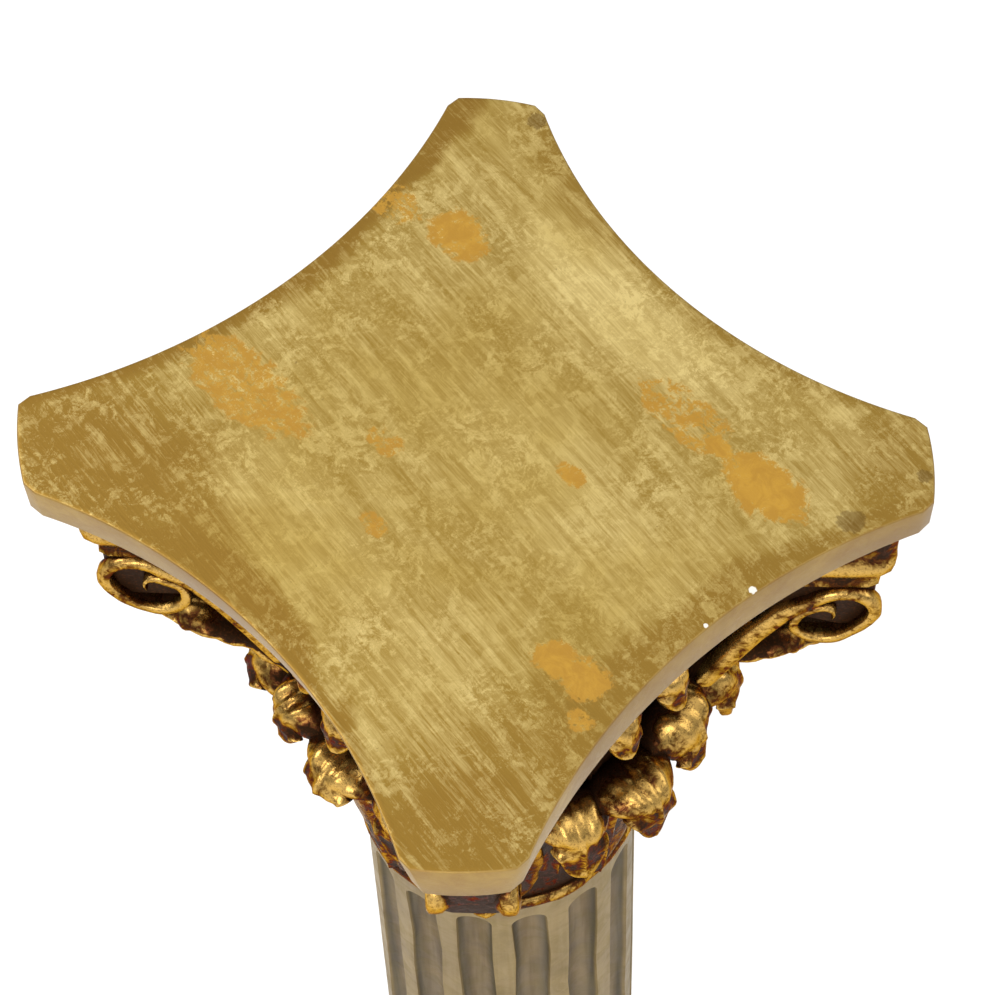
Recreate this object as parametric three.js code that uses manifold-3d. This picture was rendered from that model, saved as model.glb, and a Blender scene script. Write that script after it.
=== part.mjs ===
// A gilded baroque column with a Corinthian capital, the kind that carries a bust or a vase.
// Millimetres, +Z up. The origin is the centre of the plinth's underside.
// The plinth's sides run along X and Y, and the board's four horns point along the diagonals.
// Pieces, from the top: top board, carved capital, fluted shaft, turned base, square plinth.

import * as THREE from "three";
import { mergeVertices } from "three/addons/utils/BufferGeometryUtils.js";
import Module from "manifold-3d";

const wasm = await Module();
wasm.setup();

// Driving dimensions
const COLUMN_HEIGHT = 1050;
const JOINT_GAP = 0.3;

// The top board, sawn by hand, so that no two of its horns are alike
const BOARD_THICKNESS = 21;
const BOARD_EDGE_ROUND = 1.6;
const BOARD_SIDE_STEPS = 9;
const HORN_END_SWELL = 1.4;
const HORN_CORNER_ROUND = 3;
// How much narrower a horn's end gets, as a share, for each millimetre the outline is inset
const HORN_NARROWING = 1 / 60;
// Each horn's cut end, corner by corner going round from above:
// how far out it stands from the axis, and how far to the side of the diagonal.
// The scroll is the eye of the volute under it: how far out, and how far below the top.
// The sheath is how much lower the leaf under the volute hangs its tip.
const HORNS = [
  { azimuth: -45, out: [191.3, 189.7], side: [-21.3, 25.8], scroll: [147.5, 85.5], sheath: -4 },
  { azimuth: 45, out: [188.1, 186.6], side: [-22.7, 20.8], scroll: [150, 95], sheath: 17 },
  { azimuth: 135, out: [188.0, 192.6], side: [-21.2, 19.5], scroll: [150, 87], sheath: 6 },
  { azimuth: 225, out: [195.3, 187.2], side: [-24.3, 21.6], scroll: [148, 81], sheath: 4 },
];
// How far the hollow side after each horn bows in, on the board's face and on its underside,
// and how much nearer the diagonal a horn's lower corners lie, because the saw leaned inwards
const SIDE_RISES = [[25.5, 23.5], [29, 30], [29, 30], [27, 29]];
const CORNER_LEANS = [[4.7, 3], [3, 2], [2, 2], [2, 2]];
// The board lies a little off the shaft's axis
const BOARD_OFF_AXIS = new THREE.Vector2(-2.4, -0.9);

// The capital
const CAPITAL_DEPTH = 291;
const LEDGE_INSET = 9;
const LEDGE_THICKNESS = 9;
const LIP_RADIUS = 70;
const LIP_HEIGHT = 9;
const BELL_FOOT_RADIUS = 67;
const BELL_TOP_RADIUS = 106;
const BELL_SIDES = 20;
const LEAVES_PER_TIER = 8;
// No two leaves are alike. Going round from the middle of the side that faces +X: how far
// each is turned aside in degrees, how much lower it stands, how far its tip hangs as a
// share, and how much further it reaches out
const LOWER_LEAVES = [
  [0, -2, 1, 1], [0, 14, 1, 1.12], [0, 0, 0.8, 1], [0, 14, 0.8, 1.12],
  [0, 0, 0.9, 1], [0, 9, 0.3, 1.14], [0, -13, 0.43, 0.88], [0, 14, 1, 1.12],
];
const UPPER_LEAVES = [
  [-1, 2, 1, 1.08], [0, 7, 1, 1], [2, 0, 0.8, 1], [0, 6, 1, 1],
  [-2, 0, 0.9, 1], [0, 0, 0.8, 1.02], [0, 8, 1, 1], [3, 24, 1, 1],
];
// The two small scrolls in the middle of each face, either side of its middle
const FACE_SCROLL_AZIMUTH = 9;
// How far these two reach out as a share, on the side after each horn in turn
const FACE_SCROLL_REACHES = [[1, 0.9], [0.9, 1], [1, 0.8], [0.6, 1]];

// The shaft
const SHAFT_TOP_RADIUS = 67;
const SHAFT_FOOT_RADIUS = 70;
const FLUTES = 15;
const FLUTE_SHARE = 0.64;
const FLUTE_DEPTH = 6.5;
const FLUTE_TOP_MARGIN = 13;
const FLUTE_FOOT_MARGIN = 22;
const FLUTE_FIRST_AZIMUTH = -78;
// Where a flute's corners lie across it, from edge to edge
const FLUTE_CORNERS = [-1, -0.6, 0, 0.6, 1];
const SIDES_PER_FLUTE = FLUTE_CORNERS.length + 1;
// Where a corner ring cuts a flute's round end, and how narrow the end may get, as shares
const FLUTE_END_STEP = 0.3;
const FLUTE_END_WIDTH = 0.25;

// The base and the plinth
const PLINTH_SIDE = 250;
const PLINTH_HEIGHT = 48;
const PLINTH_EDGE_ROUND = 2.5;
const BASE_HEIGHT = 82;
const BASE_FOOT_RADIUS = 112;
const BASE_SIDES = 28;
// Heights of the base's mouldings, as shares of its own height
const THICK_ROUND_SHARE = 0.36;
const THIN_ROUND_SHARE = 0.24;
const FILLET_SHARE = 0.05;
// How far each moulding stands in from the base's foot radius
const LOWER_FILLET_INSET = 13;
const HOLLOW_INSETS = [24, 27];
const UPPER_FILLET_INSET = 22;
const THIN_ROUND_INSET = 18;
// How far the collar stands out from the shaft
const COLLAR_WIDTH = 5;

// Levels
const boardFoot = COLUMN_HEIGHT - BOARD_THICKNESS;
const capitalTop = boardFoot - JOINT_GAP;
const capitalFoot = COLUMN_HEIGHT - CAPITAL_DEPTH;
const shaftTop = capitalFoot - JOINT_GAP;
const baseFoot = PLINTH_HEIGHT + JOINT_GAP;
const baseTop = baseFoot + BASE_HEIGHT;
const shaftFoot = baseTop + JOINT_GAP;

const radians = THREE.MathUtils.degToRad;

// A closed solid from a geometry, and a geometry from a solid
function solidOf(geometry) {
  const bare = geometry.clone();
  bare.deleteAttribute("normal");
  bare.deleteAttribute("uv");
  const merged = mergeVertices(bare, 1e-3);
  const mesh = new wasm.Mesh({
    numProp: 3,
    vertProperties: new Float32Array(merged.attributes.position.array),
    triVerts: new Uint32Array(merged.index.array),
  });
  return new wasm.Manifold(mesh);
}

function geometryOf(solid) {
  const mesh = solid.getMesh();
  const geometry = new THREE.BufferGeometry();
  geometry.setAttribute("position", new THREE.BufferAttribute(mesh.vertProperties, 3));
  geometry.setIndex(new THREE.BufferAttribute(mesh.triVerts, 1));
  return geometry;
}

// Moves every corner of a geometry to where a function sends it
function reshape(geometry, place) {
  const position = geometry.attributes.position;
  const corner = new THREE.Vector3();
  for (let i = 0; i < position.count; i += 1) {
    corner.fromBufferAttribute(position, i);
    place(corner);
    position.setXYZ(i, corner.x, corner.y, corner.z);
  }
  return geometry;
}

// A lathe form about Z from (radius, height) points that start and end on the axis
function turned(points, sides) {
  const profile = points.map(([radius, height]) => new THREE.Vector2(radius, height));
  return new THREE.LatheGeometry(profile, sides).rotateX(Math.PI / 2);
}

// Points of a circular arc from one corner to another that bows sideways by a rise;
// a positive rise bows to the left of the way from a to b
function arcBetween(a, b, rise, steps) {
  const chord = b.clone().sub(a);
  const half = chord.length() / 2;
  const radius = (half * half + rise * rise) / (2 * Math.abs(rise));
  const left = new THREE.Vector2(-chord.y, chord.x).normalize().multiplyScalar(Math.sign(rise));
  const middle = a.clone().add(b).multiplyScalar(0.5);
  const centre = middle.clone().addScaledVector(left, Math.abs(rise) - radius);
  const reach = Math.asin(Math.min(1, half / radius));
  const along = chord.clone().normalize();
  const points = [];
  for (let i = 0; i <= steps; i += 1) {
    const angle = reach * (2 * i / steps - 1);
    const point = centre.clone();
    point.addScaledVector(along, radius * Math.sin(angle));
    point.addScaledVector(left, radius * Math.cos(angle));
    points.push(point);
  }
  return points;
}

// The outline that the board and the ledge below it share; depth is 0 on the board's face
// and 1 on its underside
function hornCorner(k, end, inset, depth) {
  const horn = HORNS[k];
  const diagonal = radians(horn.azimuth);
  const out = horn.out[end] - inset;
  const lean = Math.sign(horn.side[end]) * CORNER_LEANS[k][end] * depth;
  const side = horn.side[end] * (1 - inset * HORN_NARROWING) - lean;
  const x = out * Math.cos(diagonal) - side * Math.sin(diagonal);
  const y = out * Math.sin(diagonal) + side * Math.cos(diagonal);
  return new THREE.Vector2(x, y).add(BOARD_OFF_AXIS);
}

function boardOutline(inset, sideSteps, endSteps, depth = 0) {
  const points = [];
  HORNS.forEach((horn, k) => {
    const start = hornCorner(k, 0, inset, depth);
    const end = hornCorner(k, 1, inset, depth);
    const following = hornCorner((k + 1) % HORNS.length, 0, inset, depth);
    const across = end.clone().sub(start).setLength(HORN_CORNER_ROUND);
    const faceStart = start.clone().add(across);
    const faceEnd = end.clone().sub(across);
    points.push(...arcBetween(faceStart, faceEnd, -HORN_END_SWELL, endSteps));
    const side = arcBetween(end, following, SIDE_RISES[k][depth], sideSteps);
    points.push(...side.slice(1, -1));
  });
  return points;
}

function makeBoard() {
  const outline = boardOutline(0, BOARD_SIDE_STEPS, 2, 0);
  const underside = boardOutline(0, BOARD_SIDE_STEPS, 2, 1);
  const shape = new THREE.Shape(outline);
  const geometry = new THREE.ExtrudeGeometry(shape, {
    depth: BOARD_THICKNESS - 2 * BOARD_EDGE_ROUND,
    bevelThickness: BOARD_EDGE_ROUND,
    bevelSize: BOARD_EDGE_ROUND,
    bevelOffset: -BOARD_EDGE_ROUND,
    bevelSegments: 1,
    steps: 1,
  });
  geometry.translate(0, 0, BOARD_EDGE_ROUND);
  reshape(geometry, (corner) => {
    const flat = new THREE.Vector2(corner.x, corner.y);
    const gaps = outline.map((point) => point.distanceTo(flat));
    const nearest = gaps.indexOf(Math.min(...gaps));
    const depth = 1 - corner.z / BOARD_THICKNESS;
    corner.x += (underside[nearest].x - outline[nearest].x) * depth;
    corner.y += (underside[nearest].y - outline[nearest].y) * depth;
    corner.z += boardFoot;
  });
  return solidOf(geometry);
}

// The ledge is the capital's own top, a little smaller than the board that lies on it
function makeLedge() {
  const shape = new THREE.Shape(boardOutline(LEDGE_INSET, 6, 1));
  const geometry = new THREE.ExtrudeGeometry(shape, {
    depth: LEDGE_THICKNESS,
    bevelEnabled: false,
    steps: 1,
  });
  geometry.translate(0, 0, capitalTop - LEDGE_THICKNESS);
  return solidOf(geometry);
}

// The bell: a lip ring where it meets the shaft, then a cup that opens upwards
function bellRadius(level) {
  const share = THREE.MathUtils.clamp((level - capitalFoot) / (capitalTop - capitalFoot), 0, 1);
  return BELL_FOOT_RADIUS + (BELL_TOP_RADIUS - BELL_FOOT_RADIUS) * share ** 2;
}

function makeBell() {
  const points = [
    [0, capitalFoot],
    [LIP_RADIUS - 2, capitalFoot],
    [LIP_RADIUS, capitalFoot + 0.3 * LIP_HEIGHT],
    [LIP_RADIUS, capitalFoot + 0.7 * LIP_HEIGHT],
    [bellRadius(capitalFoot), capitalFoot + LIP_HEIGHT],
  ];
  const bellTop = capitalTop - LEDGE_THICKNESS / 2;
  const steps = 4;
  for (let i = 1; i <= steps; i += 1) {
    const level = capitalFoot + LIP_HEIGHT + (bellTop - capitalFoot - LIP_HEIGHT) * i / steps;
    points.push([bellRadius(level), level]);
  }
  points.push([0, bellTop]);
  return solidOf(turned(points, BELL_SIDES));
}

// One acanthus leaf. Its spine is a smooth line of (radius, depth below the column's top)
// points: it climbs the bell, stands away from it, rolls over and hangs its tip.
const LOWER_LEAF = {
  spine: [[71, 283], [77, 240], [82, 204], [87, 176], [95, 164], [104, 172], [101, 194]],
  halfWidth: 28,
  tipHalfWidth: 14,
  thickness: 22,
  lift: 9,
  droop: 7,
};
const UPPER_LEAF = {
  spine: [[70, 258], [75, 216], [80, 182], [85, 158], [92, 149], [101, 158], [99, 178]],
  halfWidth: 24,
  tipHalfWidth: 16,
  thickness: 13,
  lift: 10,
  droop: 7,
};
// One of the two small scrolls in the middle of each face, above the leaves
const FACE_SCROLL = {
  spine: [[78, 165], [82, 126], [88, 98], [96, 81], [104, 83], [105, 98]],
  halfWidth: 14,
  tipHalfWidth: 11,
  thickness: 12,
  lift: 3,
  droop: 6,
};
// The leaf that carries each volute from below, with a knob for a tip
const SHEATH_LEAF = {
  spine: [[76, 200], [90, 162], [108, 138], [128, 122], [141, 118], [148, 126]],
  halfWidth: 21,
  tipHalfWidth: 9,
  thickness: 14,
  lift: 3,
  droop: 8,
};
const LOBES_PER_SIDE = 3;
const NOTCH = 0.24;
const LOBE_SWEEP = 0.05;
// A leaf is narrow at its foot, widest past the middle, and its tip is thinner than its foot
const OPENING_AT_FOOT = 0.3;
const OPENING_RATE = 0.5;
const THINNING = 0.65;
// The stretch of the spine, as shares of it, over which the leaf goes from lifting to drooping
const CURL_FROM = 0.55;
const CURL_TO = 0.85;

function makeLeaf(leaf, azimuth, across, along, drop = 0, hang = 1, reach = 1) {
  const footRadius = leaf.spine[0][0];
  const crest = Math.min(...leaf.spine.map(([, depth]) => depth));
  const crestPlace = leaf.spine.findIndex(([, depth]) => depth === crest);
  const spine = leaf.spine.map(([radius, depth], k) => {
    const share = k / (leaf.spine.length - 1);
    const stretch = 1 + (reach - 1) * share;
    const hung = k > crestPlace ? crest + (depth - crest) * hang : depth;
    return new THREE.Vector2(footRadius + (radius - footRadius) * stretch, -hung - drop * share);
  });
  const curve = new THREE.SplineCurve(spine);
  const point = new THREE.Vector2();
  const geometry = new THREE.BoxGeometry(2, 1, 1, across, along, 1).translate(0, 0.5, 0.5);
  reshape(geometry, (corner) => {
    const side = corner.x;
    const behind = 1 - corner.z;
    const share = corner.y;
    const notch = 0.5 + 0.5 * Math.cos(Math.PI * (2 * LOBES_PER_SIDE - 1) * share);
    const open = Math.sin(Math.PI * Math.min(1, OPENING_AT_FOOT + OPENING_RATE * share));
    const swell = THREE.MathUtils.lerp(leaf.halfWidth * open, leaf.tipHalfWidth, share ** 3);
    const halfWidth = swell * (1 - NOTCH * notch);
    const sweep = LOBE_SWEEP * Math.abs(side) ** 1.5 * (1 - share);
    const place = Math.min(1, share + sweep);
    curve.getPoint(place, point);
    const tangent = curve.getTangent(place);
    const curl = THREE.MathUtils.smoothstep(share, CURL_FROM, CURL_TO);
    const edge = side * side;
    const proud = THREE.MathUtils.lerp(leaf.lift * share ** 0.5, leaf.droop, curl) * edge;
    const back = leaf.thickness * (1 - THINNING * share) * behind;
    const off = proud - back;
    const radius = point.x + tangent.y * off;
    const level = COLUMN_HEIGHT + point.y - tangent.x * off;
    const angle = radians(azimuth) + side * halfWidth / point.x;
    corner.set(radius * Math.cos(angle), radius * Math.sin(angle), level);
  });
  return solidOf(geometry);
}

// The volute under each horn: a scroll band rolled up on a web, and the neck above it.
// It is drawn in the diagonal's plane, x out from the axis and y up, and given its width.
const SCROLL_RADIUS = 20.8;
const SCROLL_TURNS = 1.17;
const SCROLL_START = 0.72 * Math.PI;
const SCROLL_TIGHTENING = 0.85;
const SCROLL_TIGHTENING_POWER = 6;
// The scroll is a little longer from its lower inner side to its upper outer side
const SCROLL_LEAN = 0.14;
const SCROLL_LEAN_ANGLE = radians(50);
const SCROLL_STEPS = 18;
const SCROLL_HALF_WIDTH = 19;
const BAND_THICKNESS = 7;
const BAND_THINNING = 0.4;
const WEB_RADIUS = 16;
const WEB_SIDES = 12;
const WEB_HALF_WIDTH = 10;
const NECK_HALF_WIDTH = 15.5;
const BEAD_HALF_WIDTH = 18.5;
// Corners measured from the scroll's eye, out from the axis and up
const STEM_FRONT = [[-62, -62], [-38, -15], [-25, 5]];
const STEM_BACK = [[-18, -1], [-29, -19], [-50, -62]];
const NECK_UNDERSIDE = [[-62, -56], [-40, -10], [15, -10]];
const NECK_FRONT = [[18.6, 20], [19.4, 30], [25.2, 41]];
// The fat bead round the neck, below the ledge
const BEAD = [[-50, 32], [21, 32], [25.4, 41], [25, 43], [-50, 43]];
const NECK_BACK_RADIUS = BELL_TOP_RADIUS - 16;

function extrudeAcross(points, halfWidth, azimuth) {
  const geometry = new THREE.ExtrudeGeometry(new THREE.Shape(points), {
    depth: 2 * halfWidth,
    bevelEnabled: false,
    steps: 1,
  });
  geometry.translate(0, 0, -halfWidth).rotateX(Math.PI / 2);
  return solidOf(geometry.rotateZ(radians(azimuth)));
}

function makeVolute(horn) {
  const [out, depth] = horn.scroll;
  const eye = new THREE.Vector2(out, COLUMN_HEIGHT - depth);
  const fromEye = ([x, y]) => new THREE.Vector2(eye.x + x, eye.y + y);
  const onRing = (radius, angle) => fromEye([radius * Math.cos(angle), radius * Math.sin(angle)]);
  const outer = [];
  const inner = [];
  for (let i = 0; i <= SCROLL_STEPS; i += 1) {
    const share = i / SCROLL_STEPS;
    const angle = SCROLL_START - share * SCROLL_TURNS * 2 * Math.PI;
    const lean = 1 + SCROLL_LEAN * Math.cos(2 * (angle - SCROLL_LEAN_ANGLE));
    const tight = 1 - SCROLL_TIGHTENING * share ** SCROLL_TIGHTENING_POWER;
    const radius = SCROLL_RADIUS * lean * tight;
    outer.push(onRing(radius, angle));
    inner.push(onRing(radius - BAND_THICKNESS * (1 - BAND_THINNING * share), angle));
  }
  const band = [
    ...STEM_FRONT.map(fromEye),
    ...outer,
    ...inner.reverse(),
    ...STEM_BACK.map(fromEye),
  ];
  const web = [];
  for (let i = 0; i < WEB_SIDES; i += 1) {
    web.push(onRing(WEB_RADIUS, 2 * Math.PI * i / WEB_SIDES));
  }
  const neckTop = capitalTop - LEDGE_THICKNESS / 2;
  const neck = [
    new THREE.Vector2(NECK_BACK_RADIUS, neckTop),
    ...NECK_UNDERSIDE.map(fromEye),
    ...NECK_FRONT.map(fromEye),
    new THREE.Vector2(eye.x + NECK_FRONT.at(-1)[0], neckTop),
  ];
  return extrudeAcross(band.reverse(), SCROLL_HALF_WIDTH, horn.azimuth)
    .add(extrudeAcross(web, WEB_HALF_WIDTH, horn.azimuth))
    .add(extrudeAcross(neck, NECK_HALF_WIDTH, horn.azimuth))
    .add(extrudeAcross(BEAD.map(fromEye), BEAD_HALF_WIDTH, horn.azimuth));
}

function makeCapital() {
  let solid = makeBell().add(makeLedge());
  const spacing = 360 / LEAVES_PER_TIER;
  for (let i = 0; i < LEAVES_PER_TIER; i += 1) {
    const [lowerTurn, ...lower] = LOWER_LEAVES[i];
    const [upperTurn, ...upper] = UPPER_LEAVES[i];
    solid = solid.add(makeLeaf(LOWER_LEAF, i * spacing + lowerTurn, 4, 6, ...lower));
    solid = solid.add(makeLeaf(UPPER_LEAF, (i + 0.5) * spacing + upperTurn, 4, 6, ...upper));
  }
  HORNS.forEach((horn, k) => {
    solid = solid.add(makeVolute(horn));
    solid = solid.add(makeLeaf(SHEATH_LEAF, horn.azimuth, 2, 4, horn.sheath));
    [-1, 1].forEach((side, j) => {
      const azimuth = horn.azimuth + 45 + side * FACE_SCROLL_AZIMUTH;
      const reach = FACE_SCROLL_REACHES[k][j];
      solid = solid.add(makeLeaf(FACE_SCROLL, azimuth, 2, 5, 0, 1, reach));
    });
  });
  return solid;
}

// The shaft: a round post, a little thicker at the foot, with hollows that end in half rounds
function makeShaft() {
  const sides = FLUTES * SIDES_PER_FLUTE;
  const length = shaftTop - shaftFoot;
  const pitch = 2 * Math.PI / FLUTES;
  const halfFlute = pitch * FLUTE_SHARE / 2;
  const endRound = SHAFT_TOP_RADIUS * halfFlute;
  const fluteTop = shaftTop - FLUTE_TOP_MARGIN;
  const fluteFoot = shaftFoot + FLUTE_FOOT_MARGIN;
  const endStep = FLUTE_END_STEP * endRound;
  const levels = [shaftFoot, fluteFoot, fluteFoot + endStep, fluteFoot + endRound];
  levels.push(fluteTop - endRound, fluteTop - endStep, fluteTop, shaftTop);
  const geometry = new THREE.CylinderGeometry(1, 1, 1, sides, levels.length - 1);
  geometry.rotateX(Math.PI / 2).translate(0, 0, 0.5);
  reshape(geometry, (corner) => {
    const reach = Math.hypot(corner.x, corner.y);
    const level = levels[Math.round(corner.z * (levels.length - 1))];
    const turn = Math.atan2(corner.y, corner.x) + 2 * Math.PI;
    const step = Math.round(turn / (2 * Math.PI) * sides) % sides;
    const flute = Math.floor(step / SIDES_PER_FLUTE);
    const spot = step % SIDES_PER_FLUTE;
    const middle = radians(FLUTE_FIRST_AZIMUTH) + flute * pitch;
    const ends = Math.min(fluteTop - level, level - fluteFoot);
    const rounding = THREE.MathUtils.clamp(1 - ends / endRound, 0, 1);
    const openness = ends < 0 ? 0 : Math.sqrt(1 - rounding * rounding);
    const width = Math.max(FLUTE_END_WIDTH, openness);
    let angle = middle + pitch / 2;
    let depth = 0;
    if (spot < FLUTE_CORNERS.length) {
      angle = middle + halfFlute * FLUTE_CORNERS[spot] * width;
      depth = FLUTE_DEPTH * openness * Math.sqrt(1 - FLUTE_CORNERS[spot] ** 2);
    }
    const share = (level - shaftFoot) / length;
    const skin = THREE.MathUtils.lerp(SHAFT_FOOT_RADIUS, SHAFT_TOP_RADIUS, share);
    const radius = reach < 0.5 ? 0 : skin - depth;
    corner.set(radius * Math.cos(angle), radius * Math.sin(angle), level);
  });
  return solidOf(geometry);
}

// The turned base: a thick round, a hollow between two fillets, a thinner round and a collar
function roundPoints(radius, foot, height, steps) {
  const points = [];
  const half = height / 2;
  for (let i = 0; i <= steps; i += 1) {
    const angle = Math.PI * (i / steps - 0.5);
    points.push([radius - half + half * Math.cos(angle), foot + half + half * Math.sin(angle)]);
  }
  return points;
}

function makeBase() {
  const thick = THICK_ROUND_SHARE * BASE_HEIGHT;
  const thin = THIN_ROUND_SHARE * BASE_HEIGHT;
  const fillet = FILLET_SHARE * BASE_HEIGHT;
  const lowerFillet = BASE_FOOT_RADIUS - LOWER_FILLET_INSET;
  const collar = SHAFT_FOOT_RADIUS + COLLAR_WIDTH;
  const hollowFoot = baseFoot + thick + fillet;
  const hollowTop = baseTop - 2 * fillet - thin;
  const points = [[0, baseFoot]];
  points.push(...roundPoints(BASE_FOOT_RADIUS, baseFoot, thick, 4));
  points.push([lowerFillet, baseFoot + thick], [lowerFillet, hollowFoot]);
  points.push([BASE_FOOT_RADIUS - HOLLOW_INSETS[0], (2 * hollowFoot + hollowTop) / 3]);
  points.push([BASE_FOOT_RADIUS - HOLLOW_INSETS[1], hollowTop]);
  points.push([BASE_FOOT_RADIUS - UPPER_FILLET_INSET, hollowTop + fillet]);
  points.push(...roundPoints(BASE_FOOT_RADIUS - THIN_ROUND_INSET, hollowTop + fillet, thin, 3));
  points.push([collar, baseTop - fillet], [collar, baseTop]);
  points.push([0, baseTop]);
  return solidOf(turned(points, BASE_SIDES));
}

function makePlinth() {
  const half = PLINTH_SIDE / 2;
  const shape = new THREE.Shape();
  shape.moveTo(-half, -half).lineTo(half, -half).lineTo(half, half).lineTo(-half, half);
  const geometry = new THREE.ExtrudeGeometry(shape, {
    depth: PLINTH_HEIGHT - 2 * PLINTH_EDGE_ROUND,
    bevelThickness: PLINTH_EDGE_ROUND,
    bevelSize: PLINTH_EDGE_ROUND,
    bevelOffset: -PLINTH_EDGE_ROUND,
    bevelSegments: 1,
    steps: 1,
  });
  geometry.translate(0, 0, PLINTH_EDGE_ROUND);
  return solidOf(geometry);
}

// Finishes
const gilding = { color: 0xb0923f, roughness: 0.38, metalness: 0.8 };
const carvedGilding = { color: 0x9a7430, roughness: 0.4, metalness: 0.75 };
const shaftPaint = { color: 0x8d7f66, roughness: 0.6, metalness: 0.1 };

const column = new THREE.Group();

function addPiece(name, solid, finish) {
  const mesh = new THREE.Mesh(geometryOf(solid), new THREE.MeshStandardMaterial(finish));
  mesh.name = name;
  column.add(mesh);
}

addPiece("top_board", makeBoard(), gilding);
addPiece("capital", makeCapital(), carvedGilding);
addPiece("fluted_shaft", makeShaft(), shaftPaint);
addPiece("turned_base", makeBase(), carvedGilding);
addPiece("plinth", makePlinth(), gilding);

export default column;
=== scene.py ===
# %% [markdown]
# A gilded baroque column, seen from above: a board with four horns lies on a carved
# Corinthian capital, and a painted, fluted shaft goes down from it to a base and a plinth.
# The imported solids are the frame. Every piece made here takes the place of one of them,
# at the same place and size, with the finer carving and the finish that a solid leaves out.

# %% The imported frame
import math
import bmesh
import bpy
from mathutils import Matrix, Vector, noise
from mathutils.bvhtree import BVHTree


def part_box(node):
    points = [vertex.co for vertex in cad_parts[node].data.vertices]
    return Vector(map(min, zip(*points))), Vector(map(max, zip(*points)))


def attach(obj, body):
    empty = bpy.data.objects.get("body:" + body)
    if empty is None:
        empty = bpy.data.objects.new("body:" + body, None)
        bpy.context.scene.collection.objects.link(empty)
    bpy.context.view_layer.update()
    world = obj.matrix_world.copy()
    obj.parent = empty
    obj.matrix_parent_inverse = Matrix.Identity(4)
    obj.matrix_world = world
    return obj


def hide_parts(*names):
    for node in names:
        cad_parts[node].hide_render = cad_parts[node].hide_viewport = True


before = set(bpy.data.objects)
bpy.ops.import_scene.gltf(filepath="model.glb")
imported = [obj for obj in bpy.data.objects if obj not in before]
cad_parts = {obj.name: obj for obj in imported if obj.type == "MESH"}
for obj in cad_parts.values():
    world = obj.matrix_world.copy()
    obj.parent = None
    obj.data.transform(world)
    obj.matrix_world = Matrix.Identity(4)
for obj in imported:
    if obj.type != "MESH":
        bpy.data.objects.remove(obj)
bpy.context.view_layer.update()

MM = 0.001
board_low, board_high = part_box("top_board")
capital_low, capital_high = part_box("capital")
shaft_low, shaft_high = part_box("fluted_shaft")
base_low, base_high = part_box("turned_base")
plinth_low, plinth_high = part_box("plinth")


def level(corner):
    """The height of a box's corner in millimetres."""
    return corner[2] / MM


TOP = level(board_high)
print("column height", round(TOP, 1), "mm")


# %% [markdown]
# The camera stands where the photographer stood, a little over a metre above the board and
# off one corner. A long lens keeps the board's four sides nearly parallel. Its direction
# was found from the board's four horns and the shaft's vertical.

# %% Camera
CAMERA_PLACE = Vector((0.5437, -0.4607, 2.1189))
CAMERA_RIGHT = Vector((0.68056, 0.73234, -0.02282))
CAMERA_FORWARD = Vector((-0.41106, 0.35585, -0.83928))
FRAME_SIZE = 995
FOCAL_PIXELS = 3100
PRINCIPAL_OFFSET = (5.9, -1.2)


def look_along(right, forward):
    """The turn of a camera whose right and forward directions are known."""
    up = right.cross(forward).normalized()
    return Matrix((right, up, -forward)).transposed().to_4x4()


camera_data = bpy.data.cameras.new("camera")
camera_data.sensor_width = 36
camera_data.lens = camera_data.sensor_width * FOCAL_PIXELS / FRAME_SIZE
camera_data.shift_x = -PRINCIPAL_OFFSET[0] / FRAME_SIZE
camera_data.shift_y = PRINCIPAL_OFFSET[1] / FRAME_SIZE
camera = bpy.data.objects.new("camera", camera_data)
camera.matrix_world = Matrix.Translation(CAMERA_PLACE) @ look_along(CAMERA_RIGHT, CAMERA_FORWARD)
bpy.context.scene.collection.objects.link(camera)
bpy.context.scene.camera = camera
bpy.context.scene.view_settings.view_transform = "Standard"
print("lens", round(camera_data.lens, 1), "mm")

# %% [markdown]
# Gold shows what stands around it. A pale floor and a bright ceiling give the light planes,
# and a darker band at the horizon gives the dark edges that make gilding read as metal.

# %% Floor, sky and lamps
FLOOR_SIZE = 30.0
FLOOR_TONE = (0.93, 0.93, 0.93, 1)
FLOOR_LEVEL = -0.0005


def make_floor():
    bm = bmesh.new()
    bmesh.ops.create_grid(bm, x_segments=1, y_segments=1, size=FLOOR_SIZE / 2)
    mesh = bpy.data.meshes.new("floor")
    bm.to_mesh(mesh)
    bm.free()
    floor = bpy.data.objects.new("floor", mesh)
    floor.location.z = FLOOR_LEVEL
    bpy.context.scene.collection.objects.link(floor)
    paint = bpy.data.materials.new("floor_paint")
    paint.use_nodes = True
    shader = paint.node_tree.nodes["Principled BSDF"]
    shader.inputs["Base Color"].default_value = FLOOR_TONE
    shader.inputs["Roughness"].default_value = 0.8
    mesh.materials.append(paint)


def make_sky(horizon, zenith, strength):
    """A studio that is darker round the sides and bright overhead."""
    world = bpy.data.worlds.new("studio")
    world.use_nodes = True
    tree = world.node_tree
    place = tree.nodes.new("ShaderNodeTexCoord")
    split = tree.nodes.new("ShaderNodeSeparateXYZ")
    ramp = tree.nodes.new("ShaderNodeMapRange")
    ramp.interpolation_type = "SMOOTHSTEP"
    ramp.inputs["From Min"].default_value = -0.05
    ramp.inputs["From Max"].default_value = 0.75
    ramp.inputs["To Min"].default_value = horizon
    ramp.inputs["To Max"].default_value = zenith
    tree.links.new(place.outputs["Generated"], split.inputs[0])
    tree.links.new(split.outputs["Z"], ramp.inputs["Value"])
    tree.links.new(ramp.outputs[0], tree.nodes["Background"].inputs["Color"])
    tree.nodes["Background"].inputs["Strength"].default_value = strength
    bpy.context.scene.world = world


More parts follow.
